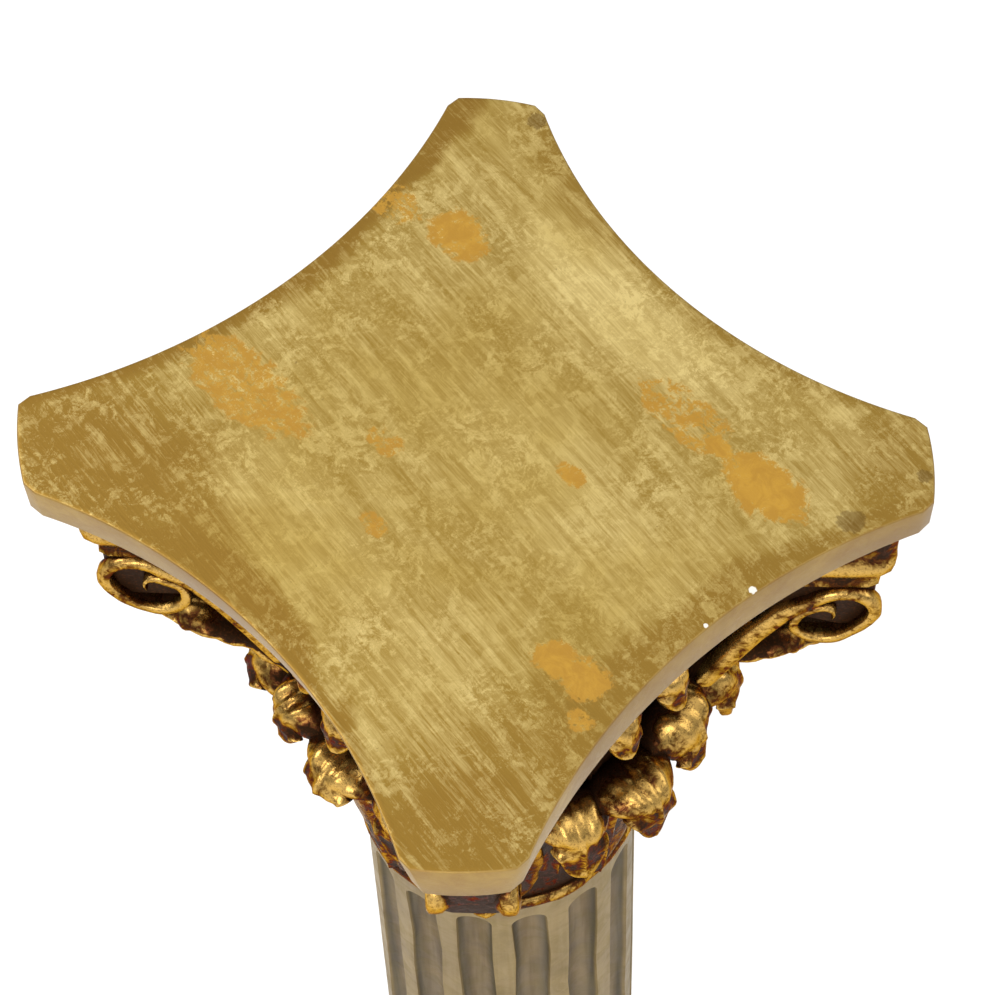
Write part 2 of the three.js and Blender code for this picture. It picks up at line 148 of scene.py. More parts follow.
def soft_lamp(name, place, target, size, power):
    """A square softbox that faces a point."""
    data = bpy.data.lights.new(name, "AREA")
    data.size = size
    data.energy = power
    lamp = bpy.data.objects.new(name, data)
    facing = (Vector(target) - Vector(place)).to_track_quat("-Z", "Y")
    lamp.matrix_world = Matrix.Translation(place) @ facing.to_matrix().to_4x4()
    bpy.context.scene.collection.objects.link(lamp)


make_floor()
make_sky(horizon=0.28, zenith=0.95, strength=1.0)
soft_lamp("key", (-1.6, -1.2, 3.2), (0, 0, 0.9), size=1.6, power=45)
soft_lamp("fill", (1.8, 1.4, 2.4), (0, 0, 0.9), size=1.8, power=15)
soft_lamp("front", (1.1, -1.6, 1.5), (0, 0, 0.85), size=1.2, power=17)

# %% [markdown]
# Most pieces start as a grid of small squares that is bent into place: a leaf, a fluted
# post and a rolled band are all sheets with rows and columns. A turned piece is a profile
# that spins about the axis. Both are made in millimetres and shrunk to metres at the end.


# %% Making meshes
def lerp(low, high, share):
    return low + (high - low) * share


def smoothstep(value, low, high):
    share = min(1.0, max(0.0, (value - low) / (high - low)))
    return share * share * (3 - 2 * share)


def bump(value, middle, width):
    """A soft hill, 1 in the middle and nearly 0 two widths away."""
    return math.exp(-((value - middle) / width) ** 2)


# Painted shade kept per corner: how much darker a corner is coloured because it lies in shade
def painted_shade_layer(bm):
    return bm.verts.layers.float.get("painted_shade") or bm.verts.layers.float.new("painted_shade")


def shaped_grid(bm, columns, rows, place, painted_shade=None):
    """Adds a grid and sends each corner to place(u, v), where u and v go from 0 to 1."""
    layer = painted_shade and painted_shade_layer(bm)
    made = bmesh.ops.create_grid(bm, x_segments=columns, y_segments=rows, size=0.5)["verts"]
    for vert in made:
        u, v = (min(1, max(0, value + 0.5)) for value in vert.co.xy)
        vert.co = place(u, v)
        if painted_shade:
            vert[layer] = painted_shade(u, v)
    return made


def turned(bm, profile, sides):
    """Spins (radius, height) points that start and end on the axis."""
    verts = [bm.verts.new((radius, 0, height)) for radius, height in profile]
    edges = [bm.edges.new(pair) for pair in zip(verts, verts[1:])]
    bmesh.ops.spin(bm, geom=verts + edges, cent=(0, 0, 0), axis=(0, 0, 1),
                   angle=2 * math.pi, steps=sides, use_merge=True)


def close_up(bm, distance=0.01):
    """Merges the seams and turns all faces outwards."""
    bmesh.ops.remove_doubles(bm, verts=bm.verts, dist=distance)
    bmesh.ops.recalc_face_normals(bm, faces=bm.faces)


def paint_shade(bm, verts, amount):
    """Sets how much painted shade these corners get, over what their hollow holds."""
    layer = painted_shade_layer(bm)
    for vert in verts:
        vert[layer] = amount


def rough_hewn(bm, size, depth, seed=0.0):
    """Moves the surface in and out a little, as a gouge and many coats of gesso leave it."""
    bm.normal_update()
    shift = Vector((seed, 2 * seed, 3 * seed))
    for vert in bm.verts:
        wave = noise.noise(vert.co / size + shift)
        vert.co += vert.normal * (depth * wave)


def finished(name, bm, material, node, smooth_angle):
    """Makes the piece's object, in metres, riding on the column in place of its solid."""
    bmesh.ops.scale(bm, vec=(MM, MM, MM), verts=bm.verts)
    for face in bm.faces:
        face.smooth = True
    mesh = bpy.data.meshes.new(name)
    bm.to_mesh(mesh)
    bm.free()
    mesh.set_sharp_from_angle(angle=math.radians(smooth_angle))
    mesh.materials.append(material)
    piece = bpy.data.objects.new(name, mesh)
    bpy.context.scene.collection.objects.link(piece)
    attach(piece, "root")
    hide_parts(node)
    mesh.calc_loop_triangles()
    print(name, len(mesh.loop_triangles), "triangles")
    return piece


# %% [markdown]
# Age and light show in the hollows and on the ridges. The hollows are darkened, partly for the
# dark wax and dust that stay there and partly as painted shade, as a closed-in place gets little
# light; the ridges are brightened, partly where hands rub the gold and partly as painted highlight.
# Both are measured on the finished mesh and kept in it as two named values per corner: how
# closed in the place is, and how much it stands out.

# %% Hollows and ridges
HOLLOW_REACH = 22 * MM
RAY_START = 0.25 * MM
RAY_RINGS = [(0.35, 5), (0.8, 7)]
FAR_HIT_LOSS = 0.6


def ray_fan():
    """Directions over a half sphere around +Z: the pole and some rings (radius, count)."""
    rays = [Vector((0, 0, 1))]
    for radius, count in RAY_RINGS:
        for i in range(count):
            angle = 2 * math.pi * (i + 0.5 * radius) / count
            height = math.sqrt(1 - radius * radius)
            rays.append(Vector((radius * math.cos(angle), radius * math.sin(angle), height)))
    return rays


def closed_in(mesh, tree):
    """For each corner, the share of short rays out of the surface that meet something."""
    rays = ray_fan()
    shares = []
    for vert in mesh.vertices:
        normal = vert.normal
        turn = normal.to_track_quat("Z", "Y")
        start = vert.co + normal * RAY_START
        hits = 0.0
        for ray in rays:
            distance = tree.ray_cast(start, turn @ ray, HOLLOW_REACH)[3]
            if distance is not None:
                hits += 1 - FAR_HIT_LOSS * distance / HOLLOW_REACH
        shares.append(hits / len(rays))
    return shares


def standing_out(mesh):
    """For each corner, how far it stands above its neighbours, against its edge length."""
    total = [0.0] * len(mesh.vertices)
    count = [0] * len(mesh.vertices)
    for edge in mesh.edges:
        a, b = (mesh.vertices[i] for i in edge.vertices)
        way = (b.co - a.co).normalized()
        total[a.index] -= a.normal.dot(way)
        total[b.index] += b.normal.dot(way)
        count[a.index] += 1
        count[b.index] += 1
    return [t / max(1, n) for t, n in zip(total, count)]


def smoothed(mesh, values):
    """Averages each corner's value with its neighbours'."""
    total = list(values)
    count = [1] * len(values)
    for edge in mesh.edges:
        a, b = edge.vertices
        total[a] += values[b]
        total[b] += values[a]
        count[a] += 1
        count[b] += 1
    return [t / n for t, n in zip(total, count)]


def keep_on_mesh(mesh, name, values):
    attribute = mesh.attributes.new(name, "FLOAT", "POINT")
    attribute.data.foreach_set("value", values)


def measure_wear_and_shade(pieces):
    """Stores hollow and ridge on each piece; every piece can close in its neighbours."""
    verts = []
    faces = []
    for piece in pieces:
        first = len(verts)
        verts += [v.co.copy() for v in piece.data.vertices]
        faces += [[first + i for i in f.vertices] for f in piece.data.polygons]
    tree = BVHTree.FromPolygons(verts, faces)
    for piece in pieces:
        mesh = piece.data
        hollow = smoothed(mesh, closed_in(mesh, tree))
        # The painted shade set on the corners is added to the hollow
        if "painted_shade" in mesh.attributes:
            hollow = [h + s.value for h, s in zip(hollow, mesh.attributes["painted_shade"].data)]
        ridge = smoothed(mesh, standing_out(mesh))
        keep_on_mesh(mesh, "hollow", hollow)
        keep_on_mesh(mesh, "ridge", ridge)
        print(piece.name, "hollow to", round(max(hollow), 2), "ridge to", round(max(ridge), 2))


# %% [markdown]
# Materials are built from nodes. One group carries what all finishes share, the mottling
# of a worn surface, and each finish places it with its own sizes. Colours are written as
# the screen shows them, from 0 to 255.


# %% Node helpers
def screen(red, green, blue):
    """A screen colour, 0 to 255, as the linear colour that a shader reads."""
    def linear(value):
        value /= 255
        return value / 12.92 if value <= 0.04045 else ((value + 0.055) / 1.055) ** 2.4
    return (linear(red), linear(green), linear(blue), 1.0)


def put(tree, kind, values=None, **settings):
    """Adds a shader node, with its settings, and its inputs as values or as links."""
    made = tree.nodes.new("ShaderNode" + kind)
    for name, value in settings.items():
        setattr(made, name, value)
    for socket, value in (values or {}).items():
        if isinstance(value, bpy.types.NodeSocket):
            tree.links.new(value, made.inputs[socket])
        else:
            made.inputs[socket].default_value = value
    return made


def calc(tree, operation, a, b=0.0, clamp=False):
    return put(tree, "Math", {0: a, 1: b}, operation=operation, use_clamp=clamp).outputs[0]


def weighed(tree, *terms, clamp=False):
    """The sum of some values, each times its weight."""
    parts = [value if weight == 1 else calc(tree, "MULTIPLY", value, weight)
             for value, weight in terms]
    whole = parts[0]
    for part in parts[1:]:
        whole = calc(tree, "ADD", whole, part, clamp=clamp and part is parts[-1])
    return whole


def centred(tree, value, strength):
    """A 0 to 1 value as a swing about 0."""
    return calc(tree, "MULTIPLY", calc(tree, "SUBTRACT", value, 0.5), strength)


def strongest(tree, masks):
    """The greatest of some masks, each times its strength."""
    most = 0.0
    for mask, strength in masks:
        most = calc(tree, "MAXIMUM", most, calc(tree, "MULTIPLY", mask, strength))
    return most


def ramp(tree, value, low, high):
    """Goes softly from 0 to 1 as the value goes from low to high."""
    return put(tree, "MapRange", {"Value": value, "From Min": low, "From Max": high},
               interpolation_type="SMOOTHSTEP").outputs[0]


def blend(tree, factor, a, b):
    """One colour over another."""
    return put(tree, "Mix", {0: factor, 6: a, 7: b}, data_type="RGBA").outputs[2]


def blend_values(tree, factor, a, b):
    return put(tree, "Mix", {0: factor, 2: a, 3: b}, data_type="FLOAT").outputs[0]


def grain(tree, vector, scale, detail, roughness, distortion=0.0):
    made = put(tree, "TexNoise", {"Vector": vector, "Scale": scale, "Detail": detail,
                                  "Roughness": roughness, "Distortion": distortion})
    return made.outputs[0]


def stretched(tree, vector, scale, turn=(0, 0, 0)):
    """The place turned about the axes first, and then scaled along each."""
    turned = put(tree, "Mapping", {"Vector": vector, "Rotation": turn}).outputs[0]
    return put(tree, "Mapping", {"Vector": turned, "Scale": scale}).outputs[0]


# %% Shared effects
def make_leaf_mottle():
    """Broad clouds, small flakes and pin-point speckle of leaf that has worn."""
    group = bpy.data.node_groups.new("leaf_mottle", "ShaderNodeTree")
    group.interface.new_socket("Vector", in_out="INPUT", socket_type="NodeSocketVector")
    given = group.nodes.new("NodeGroupInput")
    result = group.nodes.new("NodeGroupOutput")
    for name, detail, roughness, distortion, low, high in [
            ("Clouds", 4, 0.6, 0.6, 0.3, 0.7), ("Flakes", 5, 0.65, 0.8, 0.38, 0.66),
            ("Speckle", 2, 0.6, 0.0, 0.35, 0.72)]:
        size = name + " Scale"
        group.interface.new_socket(size, in_out="INPUT", socket_type="NodeSocketFloat")
        group.interface.new_socket(name, in_out="OUTPUT", socket_type="NodeSocketFloat")
        noisy = grain(group, given.outputs["Vector"], given.outputs[size], detail, roughness,
                      distortion)
        group.links.new(ramp(group, noisy, low, high), result.inputs[name])
    return group


LEAF_MOTTLE = make_leaf_mottle()
print("shared effect", LEAF_MOTTLE.name)


def mottled(tree, place, clouds, flakes, speckle):
    """The shared mottling, with the sizes of its three grains per metre."""
    made = tree.nodes.new("ShaderNodeGroup")
    made.node_tree = LEAF_MOTTLE
    tree.links.new(place, made.inputs["Vector"])
    for socket, scale in zip(("Clouds", "Flakes", "Speckle"), (clouds, flakes, speckle)):
        made.inputs[socket + " Scale"].default_value = scale
    return made.outputs


def new_finish(name):
    """A material, its tree, its shader and the object's own coordinates."""
    material = bpy.data.materials.new(name)
    material.use_nodes = True
    tree = material.node_tree
    shader = tree.nodes["Principled BSDF"]
    place = put(tree, "TexCoord").outputs["Object"]
    print("finish", name)
    return material, tree, shader, place


def stored(tree, name):
    """A value kept on the mesh."""
    return put(tree, "Attribute", attribute_name=name).outputs["Fac"]


def set_relief(tree, shader, height, distance):
    """Low relief from a 0 to 1 height, half as strong as its distance would have it."""
    made = put(tree, "Bump", {"Height": height, "Distance": distance, "Strength": 0.5})
    tree.links.new(made.outputs[0], shader.inputs["Normal"])


# %% [markdown]
# The board is burnished leaf on a flat face, so its brushed streaks catch the light as
# fine parallel lines. Handling has dulled two horns, the margins along the hollow sides are
# made darker and duller, and a painted highlight brightens three broad bands of the face.
# In some places handling has rubbed the leaf through, where the ochre ground shows. Those
# bare patches, dark specks and two chips of pale gesso lie where the photograph has them.

# %% The board's gilding
# Bare patches: middle along x and y, half length along x, half width across, strength
BARE_PATCHES = [
    ((91, 73), (19, 11), 1.0),
    ((65, 74), (7, 4), 0.8),
    ((51, 71), (9, 6), 0.45),
    ((91, -45), (9, 7), 1.0),
    ((106, -43), (10, 8), 1.0),
    ((118, -57), (5, 4), 0.55),
    ((-92, 71), (13, 10), 0.75),
    ((-96, -48), (30, 13), 0.5),
    ((43, 75), (22, 9), 0.35),
    ((-127, 62), (14, 8), 0.45),
    ((32, 20), (6, 4), 0.6),
    ((-6, -55), (6, 4), 0.45),
    ((-34, -24), (8, 5), 0.35),
]
# Where hands have dulled the leaf, and the painted highlight where it is brightest, given in the
# same way
DULL_AREAS = [((-118, -122), (62, 62), 0.75), ((122, -128), (52, 62), 0.7),
              ((128, 128), (40, 40), 0.4)]
PAINTED_HIGHLIGHT_AREAS = [((-12, 92), (70, 22), 0.75), ((40, 10), (70, 22), 0.3), ((-40, -75), (60, 20), 0.3)]
# The arcs of the four hollow sides: centre, radius and how strongly the margin is dulled
SIDE_ARCS = [((400, 0), 279, 0.6), ((-2, 369), 250, 0.35), ((-373, -1), 250, 0.9),
             ((-2, -390), 267, 0.8)]
MARGIN = 13
AREA_DEPTH = 60
AREA_SOFTNESS = 0.4
# Middle and radius
DARK_SPOTS = [((-115, 139), 4), ((127, 87), 5), ((133, 125), 3)]
DARK_SPOT_STRENGTH = 0.45
GESSO_CHIPS = [((122.6, 34.4), 1.4), ((121.2, 9.2), 0.9)]
PATCH_DEPTH = 6
PATCH_SOFTNESS = 0.12


def patch_mask(tree, place, middle, size, ragged, depth=PATCH_DEPTH, soft=PATCH_SOFTNESS):
    """1 inside an oval on the board's face and 0 outside, with a ragged edge."""
    offset = put(tree, "VectorMath", {0: place, 1: (middle[0] * MM, middle[1] * MM, TOP * MM)},
                 operation="SUBTRACT").outputs[0]
    scale = (1 / (size[0] * MM), 1 / (size[1] * MM), 1 / (depth * MM))
    scaled = put(tree, "VectorMath", {0: offset, 1: scale}, operation="MULTIPLY").outputs[0]
    distance = put(tree, "VectorMath", {0: scaled}, operation="LENGTH").outputs["Value"]
    return ramp(tree, calc(tree, "ADD", distance, ragged), 1 + soft, 1 - soft)


def worn_leaf(tree, place):
    """Brushed streaks that come and go, and clumps of small flakes; 0 is dull, 1 bright."""
    areas = ramp(tree, grain(tree, place, 24.0, 5, 0.7, 0.3), 0.4, 0.62)
    along = stretched(tree, place, (16.0, 270.0, 270.0), (0, 0, math.radians(8)))
    streaks = ramp(tree, grain(tree, along, 1.0, 6, 0.72, 0.3), 0.36, 0.66)
    finer = stretched(tree, place, (60.0, 1200.0, 1200.0), (0, 0, math.radians(4)))
    hairs = ramp(tree, grain(tree, finer, 1.0, 2, 0.6, 0.2), 0.4, 0.66)
    clumps = ramp(tree, grain(tree, place, 110.0, 6, 0.82, 0.4), 0.48, 0.57)
    flakes = ramp(tree, grain(tree, place, 440.0, 5, 0.85, 0.15), 0.46, 0.62)
    brushed = weighed(tree, (streaks, 0.5), (hairs, 0.2), (clumps, 0.2))
    flaked = weighed(tree, (clumps, 0.45), (flakes, 0.35), (streaks, 0.2))
    return blend_values(tree, areas, brushed, flaked), flakes, streaks, hairs


def dulled_and_highlighted(tree, place, clouds):
    """How much handling and the darker margins dull the leaf, and where the painted highlight
    brightens it.
    """
    drift = centred(tree, clouds, 0.7)

    def soft_areas(areas):
        return [(patch_mask(tree, place, middle, size, drift, AREA_DEPTH, AREA_SOFTNESS), strength)
                for middle, size, strength in areas]

    margins = []
    for middle, radius, strength in SIDE_ARCS:
        reach = radius + MARGIN
        worn = calc(tree, "MULTIPLY", drift, 2 * MARGIN / reach)
        margins.append((patch_mask(tree, place, middle, (reach, reach), worn, reach,
                                   AREA_SOFTNESS * MARGIN / reach), strength))
    dull = strongest(tree, soft_areas(DULL_AREAS) + margins)
    return dull, strongest(tree, soft_areas(PAINTED_HIGHLIGHT_AREAS))


def board_gilding():
    material, tree, shader, place = new_finish("board_gilding")
    mottle = mottled(tree, place, 11.0, 120.0, 800.0)
    shine, flakes, streaks, hairs = worn_leaf(tree, place)
    dull, bright = dulled_and_highlighted(tree, place, mottle["Clouds"])
    # The painted highlight brightens the leaf; the dull areas and margins darken it
    shine = weighed(tree, (shine, 1), (bright, 0.6), (dull, -0.45), clamp=True)
    olive = blend(tree, dull, screen(158, 128, 56), screen(143, 108, 42))
    gold = blend(tree, mottle["Clouds"], screen(202, 174, 98), screen(230, 206, 136))
    colour = blend(tree, shine, olive, gold)
    pits = ramp(tree, grain(tree, place, 420.0, 4, 0.8, 0.6), 0.64, 0.7)
    clumped = calc(tree, "MULTIPLY", pits, ramp(tree, mottle["Flakes"], 0.4, 0.9))
    colour = blend(tree, calc(tree, "MULTIPLY", clumped, 0.6), colour, screen(104, 76, 30))
    ragged = weighed(tree, (centred(tree, mottle["Flakes"], 0.45), 1),
                     (centred(tree, flakes, 0.25), 1))
    # A weaker patch is crusty: more of the leaf still clings to it in flakes
    crumble = blend_values(tree, 0.5, mottle["Flakes"], flakes)
    bare = strongest(tree, [
        (patch_mask(tree, place, middle, size, ragged),
         ramp(tree, crumble, strength + PATCH_SOFTNESS, strength - PATCH_SOFTNESS))
        for middle, size, strength in BARE_PATCHES])
    ochre = blend(tree, mottle["Flakes"], screen(164, 119, 16), screen(178, 133, 28))
    colour = blend(tree, bare, colour, ochre)
    dark = strongest(tree, [
        (patch_mask(tree, place, middle, (radius, radius), ragged), DARK_SPOT_STRENGTH)
        for middle, radius in DARK_SPOTS])
    colour = blend(tree, dark, colour, screen(88, 62, 30))
    # The sawn sides were gilded over a pale ground and never burnished; their darker, duller tone
    # is also painted shade, as they turn away from the overhead light
    facing = put(tree, "SeparateXYZ", {0: put(tree, "NewGeometry").outputs["Normal"]}).outputs["Z"]
    side = ramp(tree, facing, 0.992, 0.85)
    side_shade_tone = blend(tree, mottle["Clouds"], screen(134, 102, 42), screen(166, 134, 64))
    side_shade_tone = blend(tree, calc(tree, "MULTIPLY", mottle["Flakes"], 0.35), side_shade_tone,
                      screen(130, 90, 36))
    colour = blend(tree, side, colour, side_shade_tone)
    chip = strongest(tree, [
        (patch_mask(tree, place, middle, (radius, radius), ragged, radius), 1)
        for middle, radius in GESSO_CHIPS])
    colour = blend(tree, chip, colour, screen(226, 222, 212))
    tree.links.new(colour, shader.inputs["Base Color"])
    matt = calc(tree, "MAXIMUM", bare, chip)
    metallic = calc(tree, "SUBTRACT", 0.9, calc(tree, "MULTIPLY", matt, 0.9), clamp=True)
    metallic = calc(tree, "SUBTRACT", metallic, calc(tree, "MULTIPLY", side, 0.5), clamp=True)
    tree.links.new(metallic, shader.inputs["Metallic"])
    rough = weighed(tree, (0.46, 1), (shine, -0.12), (matt, 0.2))
    tree.links.new(rough, shader.inputs["Roughness"])
    relief = weighed(tree, (hairs, 0.6), (streaks, 1), (flakes, 0.5), (matt, -1.2))
    set_relief(tree, shader, relief, 0.05 * MM)
    return material


# %% [markdown]
# On carving the same gold is tinted with brown wax. The measured hollows turn from gold
# through red-brown bole to nearly black, as wax and as painted shade, the ridges are made
# bright, as rubbed gold and as painted highlight, and noise breaks the borders between
# them so that they look flaked and not airbrushed.

# %% Gilding on carved and turned wood
# Rubbed gold with painted highlight, waxed gold with painted shade, bole, and the darkest wax with
# painted shade
GOLD_RUBBED_AND_LIT = screen(202, 162, 88)
GOLD_WAXED_AND_SHADED = screen(124, 90, 42)
BOLE_RED = screen(84, 46, 24)
WAX_AND_SHADE_DARK = screen(44, 27, 16)


def waxed_and_shaded_gilding(name, hollow_low, hollow_high, clouds, flakes):
    """Gold down to hollow_low, and the darkest brown of waxing and painted shade from hollow_high,
    with grains of two sizes.
    """
    material, tree, shader, place = new_finish(name)
    mottle = mottled(tree, place, clouds, flakes, 900.0)
    depth = weighed(tree, (stored(tree, "hollow"), 1), (centred(tree, mottle["Flakes"], 0.3), 1),
                    (centred(tree, mottle["Clouds"], 0.5), 1), (stored(tree, "ridge"), -1.4))
    middle = lerp(hollow_low, hollow_high, 0.5)
    colour = blend(tree, ramp(tree, depth, hollow_low - 0.25, hollow_low + 0.1),
                   GOLD_RUBBED_AND_LIT, GOLD_WAXED_AND_SHADED)
    colour = blend(tree, ramp(tree, depth, hollow_low + 0.02, middle), colour, BOLE_RED)
    dark = ramp(tree, depth, middle - 0.04, hollow_high)
    colour = blend(tree, dark, colour, WAX_AND_SHADE_DARK)
    pit = calc(tree, "MULTIPLY", ramp(tree, mottle["Speckle"], 0.12, 0.0), 0.5)
    colour = blend(tree, pit, colour, BOLE_RED)
    tree.links.new(colour, shader.inputs["Base Color"])
    # The dark wax and painted shade are matt and brown; only a weak sheen keeps the sky from
    # greying them
    metallic = calc(tree, "SUBTRACT", 0.92, calc(tree, "MULTIPLY", dark, 0.8))
    tree.links.new(metallic, shader.inputs["Metallic"])
    shader.inputs["Specular IOR Level"].default_value = 0.1
    shader.inputs["Specular Tint"].default_value = GOLD_RUBBED_AND_LIT
    rough = weighed(tree, (0.2, 1), (mottle["Flakes"], 0.12), (dark, 0.3))
    tree.links.new(rough, shader.inputs["Roughness"])
    relief = weighed(tree, (mottle["Flakes"], 1), (mottle["Speckle"], 0.2))
    set_relief(tree, shader, relief, 0.12 * MM)
    return material


# %% [markdown]
# The shaft is painted, not gilded: a warm grey-green over pale ground, thin on the flat
# strips between the flutes, and darker inside them, darkest where each flute's wall starts down.

# %% The shaft's paint
def shaft_paint():
    material, tree, shader, place = new_finish("shaft_paint")
    mottle = mottled(tree, place, 22.0, 70.0, 600.0)
    along = stretched(tree, place, (160.0, 160.0, 9.0))
    fine = ramp(tree, grain(tree, along, 1.0, 3, 0.6, 0.15), 0.34, 0.68)
    broad = ramp(tree, grain(tree, along, 0.28, 3, 0.6, 0.25), 0.34, 0.68)
    strip = blend(tree, mottle["Clouds"], screen(122, 100, 58), screen(144, 121, 74))
    inside = blend(tree, mottle["Clouds"], screen(82, 62, 30), screen(112, 88, 46))
    # Darker inside the flutes, and darkest at each flute's edge where its wall starts down
    rim = screen(68, 55, 30)
    depth = calc(tree, "ADD", stored(tree, "flute_depth"), centred(tree, broad, 0.2))
    colour = blend(tree, ramp(tree, depth, 0.05, 0.35), strip, rim)
    colour = blend(tree, ramp(tree, depth, 0.45, 0.95), colour, inside)
    green = calc(tree, "MULTIPLY", mottle["Flakes"], 0.22)
    colour = blend(tree, green, colour, screen(116, 108, 72))
    pale = calc(tree, "MULTIPLY", fine, 0.18)
    colour = blend(tree, pale, colour, screen(178, 160, 126))
    tree.links.new(colour, shader.inputs["Base Color"])
    rough = weighed(tree, (0.42, 1), (mottle["Flakes"], 0.15))
    tree.links.new(rough, shader.inputs["Roughness"])
    shader.inputs["Metallic"].default_value = 0.25
    shader.inputs["Specular IOR Level"].default_value = 0.2
    relief = calc(tree, "ADD", fine, mottle["Flakes"])
    set_relief(tree, shader, relief, 0.15 * MM)
    return material


# %% [markdown]
# The board was sawn by hand, so each horn has its own corners. Its outline is drawn once,
# from the horns' corners with arcs between them, and again a little smaller for the ledge
# that the capital ends in. Going up by an extrusion and rounding the rims with a bevel
# is what a joiner's plane would do.

# %% The board's outline
HORN_END_SWELL = 1.4
HORN_CORNER_ROUND = 3
HORN_NARROWING = 1 / 60
BOARD_OFF_AXIS = Vector((-2.4, -0.9))
# Each horn's end corners: how far out along the diagonal and how far beside it. The scroll
# is the eye of the volute below: how far out, and how far under the top. The sheath is how
# much lower the leaf under the volute hangs its tip.
HORNS = [
    {"azimuth": -45, "out": (191.3, 189.7), "side": (-21.3, 25.8), "scroll": (147.5, 85.5),
     "sheath": -4},
    {"azimuth": 45, "out": (188.1, 186.6), "side": (-22.7, 20.8), "scroll": (150, 95),
     "sheath": 17},
    {"azimuth": 135, "out": (188.0, 192.6), "side": (-21.2, 19.5), "scroll": (150, 87),
     "sheath": 6},
    {"azimuth": 225, "out": (195.3, 187.2), "side": (-24.3, 21.6), "scroll": (148, 81),
     "sheath": 4},
]
# How far each hollow side bows in, on the face and on the underside, and how much nearer
# the diagonal a horn's lower corners lie, because the saw leaned inwards
SIDE_RISES = [(25.5, 23.5), (29, 30), (29, 30), (27, 29)]
CORNER_LEANS = [(4.7, 3), (3, 2), (2, 2), (2, 2)]


def arc_between(a, b, rise, steps):
    """Points of an arc from a to b; a positive rise bows to the left of the way."""
    chord = b - a
    half = chord.length / 2
    radius = (half * half + rise * rise) / (2 * abs(rise))
    left = Vector((-chord.y, chord.x)).normalized() * math.copysign(1, rise)
    centre = (a + b) / 2 + left * (abs(rise) - radius)
    reach = math.asin(min(1, half / radius))
    along = chord.normalized()
    points = []
    for i in range(steps + 1):
        angle = reach * (2 * i / steps - 1)
        points.append(centre + along * radius * math.sin(angle) + left * radius * math.cos(angle))
    return points


def horn_corner(k, end, inset, depth):
    horn = HORNS[k % len(HORNS)]
    diagonal = math.radians(horn["azimuth"])
    out = horn["out"][end] - inset
    lean = math.copysign(CORNER_LEANS[k % len(HORNS)][end] * depth, horn["side"][end])
    side = horn["side"][end] * (1 - inset * HORN_NARROWING) - lean
    x = out * math.cos(diagonal) - side * math.sin(diagonal)
    y = out * math.sin(diagonal) + side * math.cos(diagonal)
    return Vector((x, y)) + BOARD_OFF_AXIS


def board_outline(inset, side_steps, end_steps, depth=0):
    """The outline on the face, at depth 0, or on the underside, at depth 1."""
    points = []
    for k in range(len(HORNS)):
        start = horn_corner(k, 0, inset, depth)
        end = horn_corner(k, 1, inset, depth)
        across = (end - start).normalized() * HORN_CORNER_ROUND
        points += arc_between(start + across, end - across, -HORN_END_SWELL, end_steps)
        following = horn_corner(k + 1, 0, inset, depth)
        points += arc_between(end, following, SIDE_RISES[k][depth], side_steps)[1:-1]
    return points


print("board's outline", len(board_outline(0, 48, 8)), "corners")
CAP_LEAST_CORNERS = 20


def slab(bm, outline, low, high, edge_round, rim=1.5, underside=None):
    """An outline given height, its rims rounded and its flat faces edged with a thin loop."""
    verts = [bm.verts.new((point.x, point.y, high)) for point in outline]
    face = bm.faces.new(verts)
    lowered = bmesh.ops.extrude_face_region(bm, geom=[face])
    moved = [g for g in lowered["geom"] if isinstance(g, bmesh.types.BMVert)]
    bmesh.ops.translate(bm, vec=(0, 0, low - high), verts=moved)
    if underside:
        leaned = {(round(a.x, 2), round(a.y, 2)): b for a, b in zip(outline, underside)}
        for vert in moved:
            vert.co.xy = leaned[(round(vert.co.x, 2), round(vert.co.y, 2))]
    caps = [f for f in bm.faces if len(f.verts) == len(outline)]
    edges = list({e for f in caps for e in f.edges})
    bmesh.ops.recalc_face_normals(bm, faces=bm.faces)
    bmesh.ops.bevel(bm, geom=edges, offset=edge_round, offset_type="OFFSET", segments=3,
                    profile=0.5, affect="EDGES", material=-1)
    caps = [f for f in bm.faces if len(f.verts) > CAP_LEAST_CORNERS]
    bmesh.ops.inset_region(bm, faces=caps, thickness=rim, depth=0, use_even_offset=True)


# %% The top board
BOARD_EDGE_ROUND = 0.9
# A rounded rim of many steps would stand outside the solid's few straight ones
BOARD_INSET = 0.2


def make_board():
    bm = bmesh.new()
    slab(bm, board_outline(BOARD_INSET, 48, 8), level(board_low), level(board_high),
         BOARD_EDGE_ROUND, underside=board_outline(BOARD_INSET, 48, 8, 1))
    close_up(bm)
    return finished("top_board_gilded", bm, board_gilding(), "top_board", 40)


board = make_board()

# %% [markdown]
# The capital is one carving. Its middle is the bell, a cup that opens upwards from a lip
# ring, with the ledge on top. Both are plain forms that the leaves mostly hide, so a spun
# profile and a slab are enough, roughened as a gouge would leave them.

# %% Bell and ledge
LIP_RADIUS = 70
LIP_BULGE = 2
LIP_HEIGHT = 9
LIP_STEPS = 8
BELL_FOOT_RADIUS = 67
BELL_TOP_RADIUS = 106
BELL_STEPS = 24
LEDGE_INSET = 9
LEDGE_THICKNESS = 9
CAPITAL_FOOT = level(capital_low)
CAPITAL_TOP = level(capital_high)


def bell_radius(height):
    share = min(1, max(0, (height - CAPITAL_FOOT) / (CAPITAL_TOP - CAPITAL_FOOT)))
    return BELL_FOOT_RADIUS + (BELL_TOP_RADIUS - BELL_FOOT_RADIUS) * share ** 2


